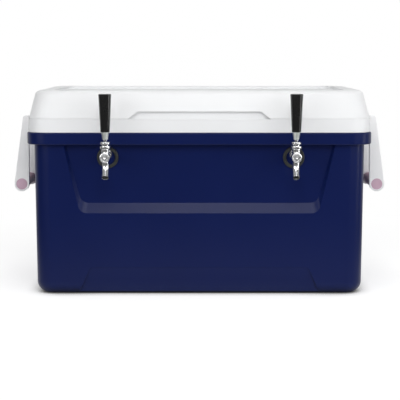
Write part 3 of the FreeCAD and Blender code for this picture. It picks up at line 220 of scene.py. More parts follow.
plasticLooks = {
    "navy": {"dark": (0.0022, 0.0078, 0.063, 1), "light": (0.0036, 0.0104, 0.076, 1), "worn": (0.030, 0.040, 0.11, 1),
             "scuff": 0.10, "roughness": 0.28, "grainScale": 620.0, "grainDepth": 0.00016, "grainStrength": 0.4,
             "shine": 0.16, "footDust": 0.44},
    "white": {"dark": (0.83, 0.84, 0.85, 1), "light": (0.88, 0.885, 0.89, 1), "worn": (0.72, 0.72, 0.71, 1),
              "scuff": 0.08, "roughness": 0.32, "grainScale": 520.0, "grainDepth": 0.00010, "grainStrength": 0.35,
              "shine": 0.45, "footDust": 0.0},
    # painted light: a lighter copy of the lid's white for the handle arms, which the chest shades
    "arm": {"dark": (0.91, 0.915, 0.92, 1), "light": (0.95, 0.95, 0.955, 1), "worn": (0.80, 0.80, 0.79, 1),
            "scuff": 0.06, "roughness": 0.36, "grainScale": 520.0, "grainDepth": 0.00010, "grainStrength": 0.35,
            "shine": 0.45, "footDust": 0.0},
    "liner": {"dark": (0.78, 0.79, 0.79, 1), "light": (0.84, 0.845, 0.84, 1), "worn": (0.62, 0.62, 0.60, 1),
              "scuff": 0.18, "roughness": 0.28, "grainScale": 380.0, "grainDepth": 0.00008, "grainStrength": 0.3,
              "shine": 0.5, "footDust": 0.0},
}
moulding = {                    # what every moulded plastic shares
    "grainDetail": 4.0, "grainRoughness": 0.6, "grainShare": 0.6,
    "pitScale": 0.7, "pitShare": 0.4,               # pits lie a little wider apart than the grain
    "cloudScale": 5.0, "cloudDetail": 3.0, "cloudDulls": 0.07,
    "scuffStretch": (9.0, 9.0, 70.0), "scuffScale": 3.0, "scuffFrom": 0.66, "scuffTo": 0.82, "scuffDulls": 0.10,
    "dustHeight": 0.032, "dustScale": 70.0,
    "brokenDetail": 5.0, "brokenRoughness": 0.7,    # ragged noise of the streaks and of the dust with its painted floor sheen
    "ior": 1.5,
}
metalLooks = {
    "chrome": {"dark": (0.80, 0.805, 0.81, 1), "light": (0.93, 0.935, 0.94, 1), "smudgeScale": 55.0,
               "brush": (1.0, 1.0, 1.0), "roughness": 0.09, "spread": 0.08, "depth": 0.00001},
    "castChrome": {"dark": (0.86, 0.865, 0.87, 1), "light": (0.95, 0.955, 0.96, 1), "smudgeScale": 55.0,
                   "brush": (1.0, 1.0, 1.0), "roughness": 0.15, "spread": 0.08, "depth": 0.00001},
    "turned": {"dark": (0.91, 0.915, 0.92, 1), "light": (0.96, 0.965, 0.97, 1), "smudgeScale": 70.0,
               "brush": (12.0, 1.0, 12.0), "roughness": 0.24, "spread": 0.08, "depth": 0.00002},
    "satin": {"dark": (0.84, 0.88, 0.84, 1), "light": (0.93, 0.96, 0.93, 1), "smudgeScale": 90.0,
              "brush": (1.0, 1.0, 22.0), "roughness": 0.32, "spread": 0.12, "depth": 0.00003},
    "steel": {"dark": (0.50, 0.50, 0.51, 1), "light": (0.66, 0.66, 0.66, 1), "smudgeScale": 40.0,
              "brush": (1.0, 1.0, 14.0), "roughness": 0.26, "spread": 0.14, "depth": 0.00005},
    "brass": {"dark": (0.52, 0.36, 0.14, 1), "light": (0.72, 0.54, 0.26, 1), "smudgeScale": 40.0,
              "brush": (8.0, 1.0, 1.0), "roughness": 0.26, "spread": 0.16, "depth": 0.00004},
}
wiping = {"smudgeDetail": 4.0, "smudgeRoughness": 0.6, "brushScale": 60.0, "brushDetail": 3.0, "strength": 0.5}
# the spout's mouth: its slant, and the painted shade that colours its end black
shadedSpoutMouth = {
    "tilt": math.radians(41),   # the mouth leans forward this much
    "reach": -0.0258,           # and lies this far down that slanted way
    "fadeStart": 0.0007, "fadeEnd": 0.0003,     # the painted black shade fades in between these, short of the mouth
    "dark": (0.010, 0.010, 0.011, 1), "dulls": 0.3, "shine": 0.1,
}
cloudedLooks = {
    # clouds are scale and detail, fine noise is scale, detail and roughness, relief is depth and strength
    "blackHandlePlastic": {"dark": (0.009, 0.009, 0.009, 1), "light": (0.014, 0.014, 0.014, 1), "clouds": (40.0, 3.0),
                           "roughness": 0.11, "spread": 0.06, "fine": (900.0, 3.0, 0.5), "relief": (0.00002, 0.2),
                           "more": {"IOR": 1.5, "Specular_IOR_Level": 0.42}},
    "blackRubber": {"dark": (0.012, 0.014, 0.012, 1), "light": (0.026, 0.028, 0.026, 1), "clouds": (30.0, 3.0),
                    "roughness": 0.36, "spread": 0.16, "fine": (1200.0, 4.0, 0.7), "relief": (0.00006, 0.4),
                    "more": {"Specular_IOR_Level": 0.4}},
    "pinkGrip": {"dark": (0.57, 0.36, 0.46, 1), "light": (0.70, 0.48, 0.58, 1), "clouds": (45.0, 3.0),
                 "roughness": 0.42, "spread": 0.12, "fine": (800.0, 4.0, 0.7), "relief": (0.00006, 0.5),
                 "more": {"Subsurface_Weight": 0.05}},
    "castAluminium": {"dark": (0.42, 0.43, 0.44, 1), "light": (0.62, 0.63, 0.64, 1), "clouds": (12.0, 4.0),
                      "roughness": 0.42, "spread": 0.16, "fine": (700.0, 5.0, 0.7), "relief": (0.0002, 0.6),
                      "more": {"Metallic": 1.0}},
    "milkyHose": {"dark": (0.66, 0.69, 0.70, 1), "light": (0.78, 0.80, 0.80, 1), "clouds": (60.0, 3.0),
                  "roughness": 0.24, "spread": 0.14, "fine": None, "relief": None,
                  "more": {"Transmission_Weight": 0.35, "IOR": 1.45}},
}
foamLook = {"cellScale": 420.0, "dark": (0.78, 0.70, 0.48, 1), "light": (0.88, 0.82, 0.62, 1), "roughness": 0.85,
            "spread": 0.1, "relief": (0.0006, 0.7)}


def newMaterial(name):
    material = bpy.data.materials.new(name)
    return material, Net(material)


def mouldedPlastic(name, look):
    # fine leather grain, slow tone changes, faint rubbed streaks, and by the foot a little dust mixed with a painted
    # sheen of the floor's reflection
    material, net = newMaterial(name)
    place = net.objectPlace()
    broken = moulding["brokenDetail"], moulding["brokenRoughness"]
    grain = net.noise(place, look["grainScale"], moulding["grainDetail"], moulding["grainRoughness"])
    pits = net.cells(place, look["grainScale"] * moulding["pitScale"])
    cloud = net.noise(place, moulding["cloudScale"], moulding["cloudDetail"])
    streaks = net.noise(net.stretched(place, moulding["scuffStretch"]), moulding["scuffScale"], *broken)
    scuff = net.band(streaks, moulding["scuffFrom"], moulding["scuffTo"])
    toned = net.mixColour(cloud, look["dark"], look["light"])
    worn = net.mixColour(scuff * look["scuff"], toned, look["worn"])
    # lighter towards the foot: partly dust, partly a painted reflection of the white floor
    if look["footDust"]:
        low = 1 - net.band(net.along("Z"), 0.0, moulding["dustHeight"])
        dustAndSheen = low * net.noise(place, moulding["dustScale"], *broken) * look["footDust"]
        worn = net.mixColour(dustAndSheen, worn, look["worn"])
    relief = grain * moulding["grainShare"] + pits * moulding["pitShare"]
    net.surface(Base_Color=worn, IOR=moulding["ior"], Specular_IOR_Level=look["shine"],
                Roughness=look["roughness"] + moulding["cloudDulls"] * cloud + moulding["scuffDulls"] * scuff,
                Normal=net.bump(relief, look["grainDepth"], look["grainStrength"]))
    return material


def polishedMetal(name, look, paintedMouthShade=False):
    # plated or drawn metal with fine wipe marks; a spout's open end gets a painted shade that makes it black, dull and
    # bare of metal
    material, net = newMaterial(name)
    place = net.objectPlace()
    smudge = net.noise(place, look["smudgeScale"], wiping["smudgeDetail"], wiping["smudgeRoughness"])
    brushing = net.noise(net.stretched(place, look["brush"]), wiping["brushScale"], wiping["brushDetail"])
    tone = net.mixColour(smudge, look["dark"], look["light"])
    roughness = look["roughness"] + look["spread"] * smudge
    more = {"Metallic": 1.0}
    # painted shade: the spout's end is coloured black and matte, standing in for the shadow inside the bore
    if paintedMouthShade:
        tilt, reach = shadedSpoutMouth["tilt"], shadedSpoutMouth["reach"]
        down = 0 - net.along("Y") * math.sin(tilt) - net.along("Z") * math.cos(tilt)
        mouthShade = net.band(down, reach - shadedSpoutMouth["fadeStart"], reach - shadedSpoutMouth["fadeEnd"])
        tone = net.mixColour(mouthShade, tone, shadedSpoutMouth["dark"])
        roughness = roughness + shadedSpoutMouth["dulls"] * mouthShade
        more = {"Metallic": 1 - mouthShade, "Specular_IOR_Level": shadedSpoutMouth["shine"]}
    net.surface(Base_Color=tone, Roughness=roughness, Normal=net.bump(brushing, look["depth"], wiping["strength"]),
                **more)
    return material


def cloudedSurface(name):
    # two tones in slow clouds under a fine relief
    material, net = newMaterial(name)
    look = cloudedLooks[name]
    place = net.objectPlace()
    cloud = net.noise(place, *look["clouds"])
    more = dict(look["more"])
    if look["fine"]:
        more["Normal"] = net.bump(net.noise(place, *look["fine"]), *look["relief"])
    net.surface(Base_Color=net.mixColour(cloud, look["dark"], look["light"]),
                Roughness=look["roughness"] + look["spread"] * cloud, **more)
    return material


def foamFill():
    material, net = newMaterial("foamFill")
    cells = net.cells(net.objectPlace(), foamLook["cellScale"])
    net.surface(Base_Color=net.mixColour(cells, foamLook["dark"], foamLook["light"]),
                Roughness=foamLook["roughness"] + foamLook["spread"] * cells,
                Normal=net.bump(cells, *foamLook["relief"]))
    return material


def makeMaterials():
    return {
        "navy_plastic": mouldedPlastic("navyPlastic", plasticLooks["navy"]),
        "white_plastic": mouldedPlastic("whitePlastic", plasticLooks["white"]),
        "arm": mouldedPlastic("armPlastic", plasticLooks["arm"]),
        "liner_white": mouldedPlastic("linerPlastic", plasticLooks["liner"]),
        "foam": foamFill(),
        "grip_pink": cloudedSurface("pinkGrip"),
        "chrome": polishedMetal("chromePlate", metalLooks["chrome"]),
        "faucet": polishedMetal("faucetChrome", metalLooks["castChrome"], paintedMouthShade=True),
        "satin": polishedMetal("satinPlate", metalLooks["satin"]),
        "turned": polishedMetal("turnedFace", metalLooks["turned"]),
        "steel": polishedMetal("stainlessSteel", metalLooks["steel"]),
        "brass": polishedMetal("plainBrass", metalLooks["brass"]),
        "black_plastic": cloudedSurface("blackHandlePlastic"),
        "black_rubber": cloudedSurface("blackRubber"),
        "cast_aluminium": cloudedSurface("castAluminium"),
        "hose_clear": cloudedSurface("milkyHose"),
    }


def makeFloor():
    size = studio["floorSize"]
    bpy.ops.mesh.primitive_plane_add(size=size, location=(0, 0, 0))
    floor = bpy.context.object
    floor.name = "floor"
    material, net = newMaterial("floorPaper")
    seen = net.seenAsBackground(1.0)
    behind = net.band(net.along("Y"), 0.0, studio["fadeEnd"])
    farSeen = net.seenAsBackground(net.between(behind, studio["shineFront"], studio["shineBack"]))
    fromChest = net.wire(net.node("ShaderNodeVectorMath", {"operation": "LENGTH"}, in0=net.objectPlace()), "Value")
    far = net.band(fromChest, studio["fadeStart"], studio["fadeEnd"])
    # painted contact shadow: near the chest the paper darkens and its glow dims where little open sky is seen
    closeBy = net.node("ShaderNodeAmbientOcclusion", {"samples": studio["contactSamples"]},
                       Distance=studio["contactReach"])
    openSky = net.band(net.wire(closeBy, "AO"), 0.0, studio["contactOpen"])
    tone = net.mixColour(openSky, studio["contactColour"], studio["floorColour"])
    paper = net.node("ShaderNodeBsdfDiffuse", None, Color=tone)
    glow = net.node("ShaderNodeEmission", None, Color=(1, 1, 1, 1), Strength=seen * openSky * studio["floorGlow"])
    lit = net.node("ShaderNodeAddShader", None, in0=paper.outputs[0], in1=glow.outputs[0])
    white = net.node("ShaderNodeEmission", None, Color=(1, 1, 1, 1), Strength=farSeen)
    both = net.node("ShaderNodeMixShader", None, in0=seen * far, in1=lit.outputs[0], in2=white.outputs[0])
    net.node("ShaderNodeOutputMaterial", None, Surface=both.outputs[0])
    floor.data.materials.append(material)


def makeWorld():
    world = bpy.data.worlds.new("studioWorld")
    bpy.context.scene.world = world
    net = Net(world)
    direction = net.node("ShaderNodeTexCoord").outputs["Generated"]
    split = net.node("ShaderNodeSeparateXYZ", None, Vector=direction)
    height, depth = net.wire(split, "Z"), net.wire(split, "Y")
    high = net.band(height, studio["lowEnd"], studio["highStart"])
    tint = net.mixColour(high, studio["worldLow"], studio["worldHigh"])
    light = net.node("ShaderNodeBackground", None, Color=tint, Strength=studio["worldLight"])
    white = net.node("ShaderNodeBackground", None, Color=(1, 1, 1, 1), Strength=1.0)
    back = net.band(depth, studio["roomEnd"], studio["backdropStart"])
    shine = net.between(back, studio["shineFront"], studio["shineBack"])
    mixed = net.node("ShaderNodeMixShader", None, in0=net.seenAsBackground(shine),
                     in1=light.outputs[0], in2=white.outputs[0])
    net.node("ShaderNodeOutputWorld", None, Surface=mixed.outputs[0])


makeCamera()
makeLamps()
makeWorld()
makeFloor()
print("studio ready")


slotOf = {row["node"]: row["material_slot"] for row in frame["record"]["subparts"]}
bodyOf = {node: body for body, members in frame["record"]["behaviour"]["bodies"].items() for node in members}
jointPlace = {joint["name"]: joint.get("pos_m") for joint in frame["record"]["behaviour"]["joints"]}
materials = makeMaterials()
meshing = {"smoothAngle": 32, "bevelAngle": 35, "bevelSegments": 2, "flatAngle": 0.5, "weld": 0.000002,
           "turnedWeld": 0.000001,
           "sideways": 0.3}     # a face whose normal rises less than this belongs to a turned piece's side
roundShare = 0.3                # a rounded edge's middle point lies this share of its width from both faces
axisRadius = 0.0005             # innermost ring of a closed end
faceFront = (math.radians(90), 0, 0)        # turns that point a turned piece's top to the front or the rear
faceRear = (math.radians(-90), 0, 0)


def camel(words):
    first, *rest = words.split("_")
    return first + "".join(word.capitalize() for word in rest)


def span(node):
    # lowest corner, highest corner and middle of a CAD node
    low, high = (Vector(corner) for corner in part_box(node))
    return low, high, (low + high) / 2


def only(piece):
    # nothing but this piece selected, in object mode
    if bpy.context.mode != "OBJECT":
        bpy.ops.object.mode_set(mode="OBJECT")
    bpy.ops.object.select_all(action="DESELECT")
    if piece:
        piece.select_set(True)
        bpy.context.view_layer.objects.active = piece


def giveMaterial(thing, slot):
    thing.data.materials.clear()
    thing.data.materials.append(materials[slot])


def applied(piece, kind, **settings):
    only(piece)
    modifier = piece.modifiers.new(kind.lower(), kind)
    for name, setting in settings.items():
        setattr(modifier, name, setting)
    bpy.ops.object.modifier_apply(modifier=modifier.name)


def rounded(piece, width):
    applied(piece, "BEVEL", width=width, segments=meshing["bevelSegments"], limit_method="ANGLE",
            angle_limit=math.radians(meshing["bevelAngle"]), use_clamp_overlap=True, harden_normals=False)


def smoothed(piece, even=True, angle=meshing["smoothAngle"]):
    only(piece)
    bpy.ops.object.shade_smooth_by_angle(angle=math.radians(angle), keep_sharp_edges=False)
    if even:
        applied(piece, "WEIGHTED_NORMAL", keep_sharp=True, weight=100)


def settle(piece, node, slot=None):
    # the piece takes over its node's finish, place and motion
    giveMaterial(piece, slot or slotOf[node])
    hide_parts(node)
    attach(piece, bodyOf[node])


def settlePair(piece, stem, slot=None):
    # the left piece and a copy of it at the right
    step = span(stem + "_right")[2] - span(stem + "_left")[2]
    only(piece)
    bpy.ops.object.duplicate(linked=False)
    other = bpy.context.object
    other.name = camel(stem + "_right")
    bpy.ops.transform.translate(value=step)
    bpy.ops.object.transform_apply(location=True, rotation=True, scale=True)
    settle(piece, stem + "_left", slot)
    settle(other, stem + "_right", slot)


def pickFaces(piece, wanted):
    # in edit mode, with only the faces that pass the test selected
    only(piece)
    bpy.ops.object.mode_set(mode="EDIT")
    bpy.ops.mesh.select_mode(type="FACE")
    bpy.ops.mesh.select_all(action="DESELECT")
    bpy.ops.object.mode_set(mode="OBJECT")
    for face in piece.data.polygons:
        face.select = wanted(face.center, face.normal)
    bpy.ops.object.mode_set(mode="EDIT")


def lowEdge(radius, height, edge):
    # the outer edge of a turned step's underside, rounded
    return [(radius - edge, height), (radius - edge * roundShare, height + edge * roundShare), (radius, height + edge)]


def highEdge(radius, height, edge, share=roundShare):
    # and that of its top
    return [(radius, height - edge), (radius - edge * share, height - edge * share), (radius - edge, height)]


def turnedPiece(name, section, segments, closed=False):
    # a disc or hoop drawn along Z ring by ring; the section is a list of (radius, height)
    radius, height = section[0]
    only(None)
    bpy.ops.mesh.primitive_circle_add(vertices=segments, radius=radius, location=(0, 0, height),
                                      fill_type="NOTHING" if closed else "NGON")
    piece = bpy.context.object
    piece.name = name
    bpy.ops.object.transform_apply(location=True, rotation=True, scale=True)
    bpy.ops.object.mode_set(mode="EDIT")
    bpy.ops.mesh.select_all(action="SELECT")
    draw = bpy.ops.mesh.extrude_edges_move if closed else bpy.ops.mesh.extrude_region_move
    for nextRadius, nextHeight in section[1:] + (section[:1] if closed else []):
        draw(TRANSFORM_OT_translate={"value": (0, 0, nextHeight - height)})
        growth = nextRadius / radius
        bpy.ops.transform.resize(value=(growth, growth, 1), center_override=(0, 0, nextHeight))
        radius, height = nextRadius, nextHeight
    bpy.ops.mesh.select_all(action="SELECT")
    bpy.ops.mesh.remove_doubles(threshold=meshing["turnedWeld"])
    bpy.ops.mesh.normals_make_consistent(inside=False)
    bpy.ops.object.mode_set(mode="OBJECT")
    return piece


def stand(piece, place, turn=(0, 0, 0)):
    # turned, moved to its place, and both written into the mesh
    only(piece)
    piece.rotation_euler = turn
    piece.location = place
    bpy.ops.object.transform_apply(location=True, rotation=True, scale=True)


def fluted(piece, low, high, look):
    # shallow notches cut round a turned band between two heights
    def inNotch(centre, normal):
        step = int((math.atan2(centre.y, centre.x) % math.tau) / math.tau * look["segments"])
        opens = step % (look["segments"] // look["notches"]) == 0
        return low < centre.z < high and abs(normal.z) < meshing["sideways"] and opens
    pickFaces(piece, inNotch)
    bpy.ops.mesh.inset(thickness=look["notchMargin"], depth=-look["notchDepth"], use_individual=True)
    bpy.ops.object.mode_set(mode="OBJECT")


def refinedCopy(node, edge=0.0, even=True, angle=meshing["smoothAngle"]):
    # the node's own shape with its triangles merged, its edges broken and its curves smooth
    piece = bpy.data.objects.new(camel(node), nodes[node].data.copy())
    bpy.context.scene.collection.objects.link(piece)
    only(piece)
    bpy.ops.object.mode_set(mode="EDIT")
    bpy.ops.mesh.select_all(action="SELECT")
    bpy.ops.mesh.remove_doubles(threshold=meshing["weld"])
    bpy.ops.mesh.customdata_custom_splitnormals_clear()
    if edge:
        bpy.ops.mesh.dissolve_limited(angle_limit=math.radians(meshing["flatAngle"]))
    else:
        bpy.ops.mesh.tris_convert_to_quads()
    bpy.ops.object.mode_set(mode="OBJECT")
    if edge:
        rounded(piece, edge)
    smoothed(piece, even, angle)
    return piece


for node, thing in nodes.items():
    giveMaterial(thing, slotOf[node])
print("finishes on the CAD nodes")

brokenEdges = {                 # width of the broken edge of each moulded or machined piece
    "body_shell": 0.0, "body_liner": 0.0, "lid_shell": 0.0, "lid_liner": 0.0, "cold_plate": 0.0,
    "hinge_leaves_body": 0.0006, "hinge_leaves_lid": 0.0006, "hinge_pins": 0.0004, "inlet_fittings": 0.0004,
    "plate_fittings": 0.0003, "drain_spout": 0.0005, "drain_seal": 0.0004, "drain_nut": 0.0008,
    "shank_washers": 0.0004, "shank_nuts": 0.0007, "hose_clamps": 0.0, "inlet_nuts": 0.0007,
    "hinge_screws_body": 0.0002, "hinge_screws_lid": 0.0002, "bracket_screws": 0.0002,
}
pairEdges = {                   # the same for pieces that come as left and right
    "handle": 0.0016, "handle_bracket": 0.0008, "shank": 0.0, "outlet_line": 0.0, "inlet_line": 0.0,
    "handle_pivot_pins": 0.0003, "valve_shaft": 0.0,
}
for stem, edge in pairEdges.items():
    brokenEdges[stem + "_left"] = brokenEdges[stem + "_right"] = edge
creaseAngles = {"body_shell": 16, "lid_shell": 16}          # where gentle slopes meet flat walls
brightenedFinish = {"handle_left": "arm", "handle_right": "arm"}   # the lid's white painted lighter, to make up for the light the chest keeps off the arms
for node, edge in brokenEdges.items():
    settle(refinedCopy(node, edge, angle=creaseAngles.get(node, meshing["smoothAngle"])), node, brightenedFinish.get(node))
print("refined copies made")


tapHandle = {"footRadius": 0.0094, "footRound": 0.0008, "footRise": 0.0003, "boreRadius": 0.00395,
             "threadDepth": 0.0143, "chamfer": 0.0013, "chamferShare": 0.35, "crownRing": 0.6, "crownDrop": 0.0004,
             "crownRise": 0.0001, "segments": 72}


def makeTapHandle():
    # long slim taper that widens to a broken top edge
    low, high, middle = span("tap_handle_left")
    height = high.z - low.z
    top = (high.x - low.x) / 2
    foot, bore, soft = tapHandle["footRadius"], tapHandle["boreRadius"], tapHandle["footRound"]
    section = [(axisRadius, tapHandle["threadDepth"]), (bore, tapHandle["threadDepth"]), (bore, 0.0),
               (foot - soft, 0.0), (foot - soft * roundShare, tapHandle["footRise"]), (foot, soft)]
    section += highEdge(top, height - tapHandle["crownDrop"], tapHandle["chamfer"], tapHandle["chamferShare"])
    section += [(top * tapHandle["crownRing"], height - tapHandle["crownRise"]), (axisRadius, height)]
    piece = turnedPiece("tapHandleLeft", section, tapHandle["segments"])
    stand(piece, (middle.x, middle.y, low.z))
    smoothed(piece)
    settlePair(piece, "tap_handle")


ferrule = {"footRadius": 0.0060, "boreRadius": 0.00395, "footEdge": 0.0005, "topEdge": 0.0004,
           "grooves": (0.0026, 0.0122), "grooveDepth": 0.00035, "grooveWidth": 0.0006, "grooveWall": 0.25,
           "segments": 64}


def makeFerrule():
    # plated ferrule under the tap handle, with a turned groove near each end
    low, high, middle = span("tap_ferrule_left")
    height = high.z - low.z
    top = (high.x - low.x) / 2
    foot, bore = ferrule["footRadius"], ferrule["boreRadius"]
    cut, wide, wall = ferrule["grooveDepth"], ferrule["grooveWidth"], ferrule["grooveWall"]

    def side(at):
        return foot + (top - foot) * at / height
    section = [(bore, 0.0), (foot - ferrule["footEdge"], 0.0), (side(ferrule["footEdge"]), ferrule["footEdge"])]
    for at in ferrule["grooves"]:
        section += [(side(at), at), (side(at) - cut, at + wide * wall), (side(at) - cut, at + wide * (1 - wall)),
                    (side(at + wide), at + wide)]
    section += [(top, height - ferrule["topEdge"]), (top - ferrule["topEdge"], height), (bore, height)]
    piece = turnedPiece("tapFerruleLeft", section, ferrule["segments"], closed=True)
    stand(piece, (middle.x, middle.y, low.z))
    smoothed(piece)
    settlePair(piece, "tap_ferrule", "satin")


bonnet = {"skirtRadius": 0.00705, "ringRadius": 0.0115, "ringHeight": 0.0055, "waistRadius": 0.0072,
          "waistHeight": 0.0030, "waistEdge": 0.0001, "crownRadius": 0.01035, "topHeight": 0.0047, "topDrop": 0.0021,
          "round": 0.0009, "socketRadius": 0.0060, "socketTop": 36, "socketFoot": -5, "socketExit": 0.98,
          "throatTop": 0.0086, "steps": 5, "notches": 6, "notchDepth": 0.0005, "notchMargin": 0.00012, "segments": 72}


def makeBonnet():
    # two-ringed bonnet: a notched spanner ring, a waist and a plain top ring, open over the lever's ball
    low, high, middle = span("faucet_bonnet_left")
    top = high.z - low.z - bonnet["topDrop"]
    skirt, ring, edge = bonnet["skirtRadius"], bonnet["ringRadius"], bonnet["round"]
    foot = top - bonnet["topHeight"] - bonnet["waistHeight"] - bonnet["ringHeight"]
    waist = foot + bonnet["ringHeight"]
    upper = waist + bonnet["waistHeight"]
    narrow, step, throat = bonnet["waistRadius"], bonnet["waistEdge"], bonnet["throatTop"]
    ball = jointPlace["lever_pivot_left"][2] - low.z
    reach, steps = bonnet["socketRadius"], bonnet["steps"]
    section = [(reach * bonnet["socketExit"], 0.0), (skirt, 0.0), (skirt, foot)]
    section += lowEdge(ring, foot, edge) + highEdge(ring, waist, edge)
    section += [(narrow, waist + step), (narrow, upper - step)]
    section += lowEdge(bonnet["crownRadius"], upper, edge) + highEdge(bonnet["crownRadius"], top, edge)
    swing = bonnet["socketFoot"] - bonnet["socketTop"]
    swings = [math.radians(bonnet["socketTop"] + swing * part / steps) for part in range(steps + 1)]
    socket = [(reach * math.cos(turn), ball + reach * math.sin(turn)) for turn in swings]
    neckRadius, neckHeight = socket[0]
    section += [(throat + (neckRadius - throat) * part / steps, top + (neckHeight - top) * part / steps)
                for part in range(steps)]
    piece = turnedPiece("faucetBonnetLeft", section + socket, bonnet["segments"], closed=True)
    fluted(piece, foot + edge, waist - edge, bonnet)
    stand(piece, (middle.x, middle.y, low.z))
    smoothed(piece)
    settlePair(piece, "faucet_bonnet")


jamNut = {"boreRadius": 0.0024, "radius": 0.0046, "height": 0.0022, "edge": 0.0005, "below": 0.0001, "segments": 48}


def makeLeverStem():
    # ball, tip and rod, with a turned jam nut right under the ferrule
    piece = refinedCopy("lever_stem_left")
    ferruleFoot, pivot = span("tap_ferrule_left")[0].z, jointPlace["lever_pivot_left"]
    bore, radius, height, edge = (jamNut[part] for part in ("boreRadius", "radius", "height", "edge"))
    section = [(bore, 0.0), (radius - edge, 0.0), (radius, edge), (radius, height - edge), (radius - edge, height),
               (bore, height)]
    nut = turnedPiece("jamNut", section, jamNut["segments"], closed=True)
    stand(nut, (pivot[0], pivot[1], ferruleFoot - height - jamNut["below"]))
    only(piece)
    nut.select_set(True)
    bpy.ops.object.join()
    smoothed(piece)
    settlePair(piece, "lever_stem")


plug = {"stemRadius": 0.0054, "flange": 0.004, "backEdge": 0.0003, "edge": 0.0014, "rimWidth": 0.0028,
        "rimSlope": (0.0004, 0.0003), "dishDepth": 0.0013, "dishEdge": 0.0002, "discRadius": 0.0062, "discEdge": 0.0004,
        "discRise": 0.0008, "dimpleRadius": 0.0022, "dimpleDepth": 0.0005, "dimpleFloor": 0.6, "segments": 72}


def makePlug():
    # round front plug: a bright rim, a dished ring and a raised centre with a dimple
    low, high, middle = span("faucet_plug_left")
    face = high.y - low.y
    radius = (high.x - low.x) / 2
    stem, back, corner = plug["stemRadius"], face - plug["flange"], plug["backEdge"]
    dish, step = face - plug["dishDepth"], plug["dishEdge"]
    inner, disc = radius - plug["rimWidth"], plug["discRadius"]
    slopeWidth, slopeDepth = plug["rimSlope"]
    centre, dimple = dish + plug["discRise"], plug["dimpleRadius"]
    section = [(axisRadius, 0.0), (stem, 0.0), (stem, back), (radius - corner, back), (radius, back + corner)]
    section += highEdge(radius, face, plug["edge"])
    section += [(inner + slopeWidth, face), (inner, face - slopeDepth), (inner - step, dish), (disc + step, dish),
                (disc, dish + step), (disc - plug["discEdge"], centre), (dimple + plug["discEdge"], centre + step),
                (dimple, centre), (dimple * plug["dimpleFloor"], centre - plug["dimpleDepth"]),
                (axisRadius, centre - plug["dimpleDepth"])]
    piece = turnedPiece("faucetPlugLeft", section, plug["segments"])
    stand(piece, (middle.x, high.y, middle.z), faceFront)
    smoothed(piece)
    settlePair(piece, "faucet_plug", "turned")


coupling = {"radius": 0.0090, "boreRadius": 0.00806, "round": 0.0006, "groove": 0.0004, "grooveStart": 0.0024,
            "grooveFloor": 0.0028, "grooveRise": 0.0036, "grooveEnd": 0.0040, "notches": 18, "notchDepth": 0.0004,
            "notchMargin": 0.0001, "segments": 72}


def makeCoupling():
    # knurled ring nut that holds the faucet to its shank
    low, high, middle = span("coupling_nut_left")
    length = high.y - low.y
    radius, floor, knurl = coupling["radius"], coupling["radius"] - coupling["groove"], coupling["grooveEnd"]
    half = [(coupling["boreRadius"], 0.0)] + lowEdge(radius, 0.0, coupling["round"])
    half += [(radius, coupling["grooveStart"]), (floor, coupling["grooveFloor"]), (floor, coupling["grooveRise"]),
             (radius, knurl)]
    section = half + [(wide, length - at) for wide, at in reversed(half)]
    piece = turnedPiece("couplingNutLeft", section, coupling["segments"], closed=True)
    fluted(piece, knurl, length - knurl, coupling)
    stand(piece, (middle.x, high.y, middle.z), faceFront)
    smoothed(piece)
    settlePair(piece, "coupling_nut")


wallRing = {"holeRadius": 0.0155, "edge": 0.0020, "lip": 0.0022, "backEdge": 0.0003,
            "near": 0.13, "far": 0.5,       # both points of a quarter round, as shares of its width
            "segments": 96}


def makeWallRing():
    # soft rubber ring that covers the hole's edge, with both front edges turned to a quarter round
    low, high, middle = span("wall_ring_left")
    height = high.y - low.y
    radius = (high.x - low.x) / 2
    hole, edge, lip, corner = wallRing["holeRadius"], wallRing["edge"], wallRing["lip"], wallRing["backEdge"]
    near, far = wallRing["near"], wallRing["far"]
    section = [(hole, 0.0), (radius - corner, 0.0), (radius, corner), (radius, height - edge),
               (radius - edge * near, height - edge * far), (radius - edge * far, height - edge * near),
               (radius - edge, height), (hole + lip, height), (hole + lip * far, height - lip * near),
               (hole + lip * near, height - lip * far), (hole, height - lip)]
    piece = turnedPiece("wallRingLeft", section, wallRing["segments"], closed=True)
    stand(piece, (middle.x, high.y, middle.z), faceFront)
    smoothed(piece)
    settlePair(piece, "wall_ring")


faucetBody = {"voxel": 0.00042, "relaxTurns": 6, "relaxFactor": 0.5, "mouthRadius": 0.0062, "flare": 1.14,
              "lipFacing": 0.9999}


def flareSpout(piece):
    # the bore opens into a thin lip at the spout's end
    down = Vector((0, -math.sin(shadedSpoutMouth["tilt"]), -math.cos(shadedSpoutMouth["tilt"])))
    reach, flare = faucetBody["mouthRadius"], faucetBody["flare"]
    floor = min(vertex.co.z for vertex in piece.data.vertices) + 2 * reach
    lip = [face for face in piece.data.polygons
           if face.normal.dot(down) > faucetBody["lipFacing"] and face.center.z < floor]
    middle = sum((face.center * face.area for face in lip), Vector()) / sum(face.area for face in lip)
    only(piece)
    bpy.ops.object.mode_set(mode="EDIT")
    bpy.ops.mesh.select_mode(type="VERT")
    bpy.ops.mesh.select_all(action="DESELECT")
    bpy.ops.object.mode_set(mode="OBJECT")
    for vertex in piece.data.vertices:
        vertex.select = (vertex.co - middle).length < reach
    bpy.ops.object.mode_set(mode="EDIT")
    bpy.ops.transform.resize(value=(flare, flare, flare), center_override=middle)
    bpy.ops.object.mode_set(mode="OBJECT")


def makeFaucetBody():
    # the cast body: its joints between barrel, neck and spout flow into each other
    piece = refinedCopy("faucet_body_left", even=False)
    flareSpout(piece)
    applied(piece, "REMESH", mode="VOXEL", voxel_size=faucetBody["voxel"])
    applied(piece, "SMOOTH", factor=faucetBody["relaxFactor"], iterations=faucetBody["relaxTurns"])
    only(piece)
    bpy.ops.object.shade_smooth()
    settlePair(piece, "faucet_body", "faucet")


gripSleeve = {"coreRadius": 0.0061, "ribs": 9, "ribWidth": 0.0030, "ribDepth": 0.0008, "ribWall": 0.3,
              "endBand": 0.012, "endRound": 0.0012, "segments": 56}


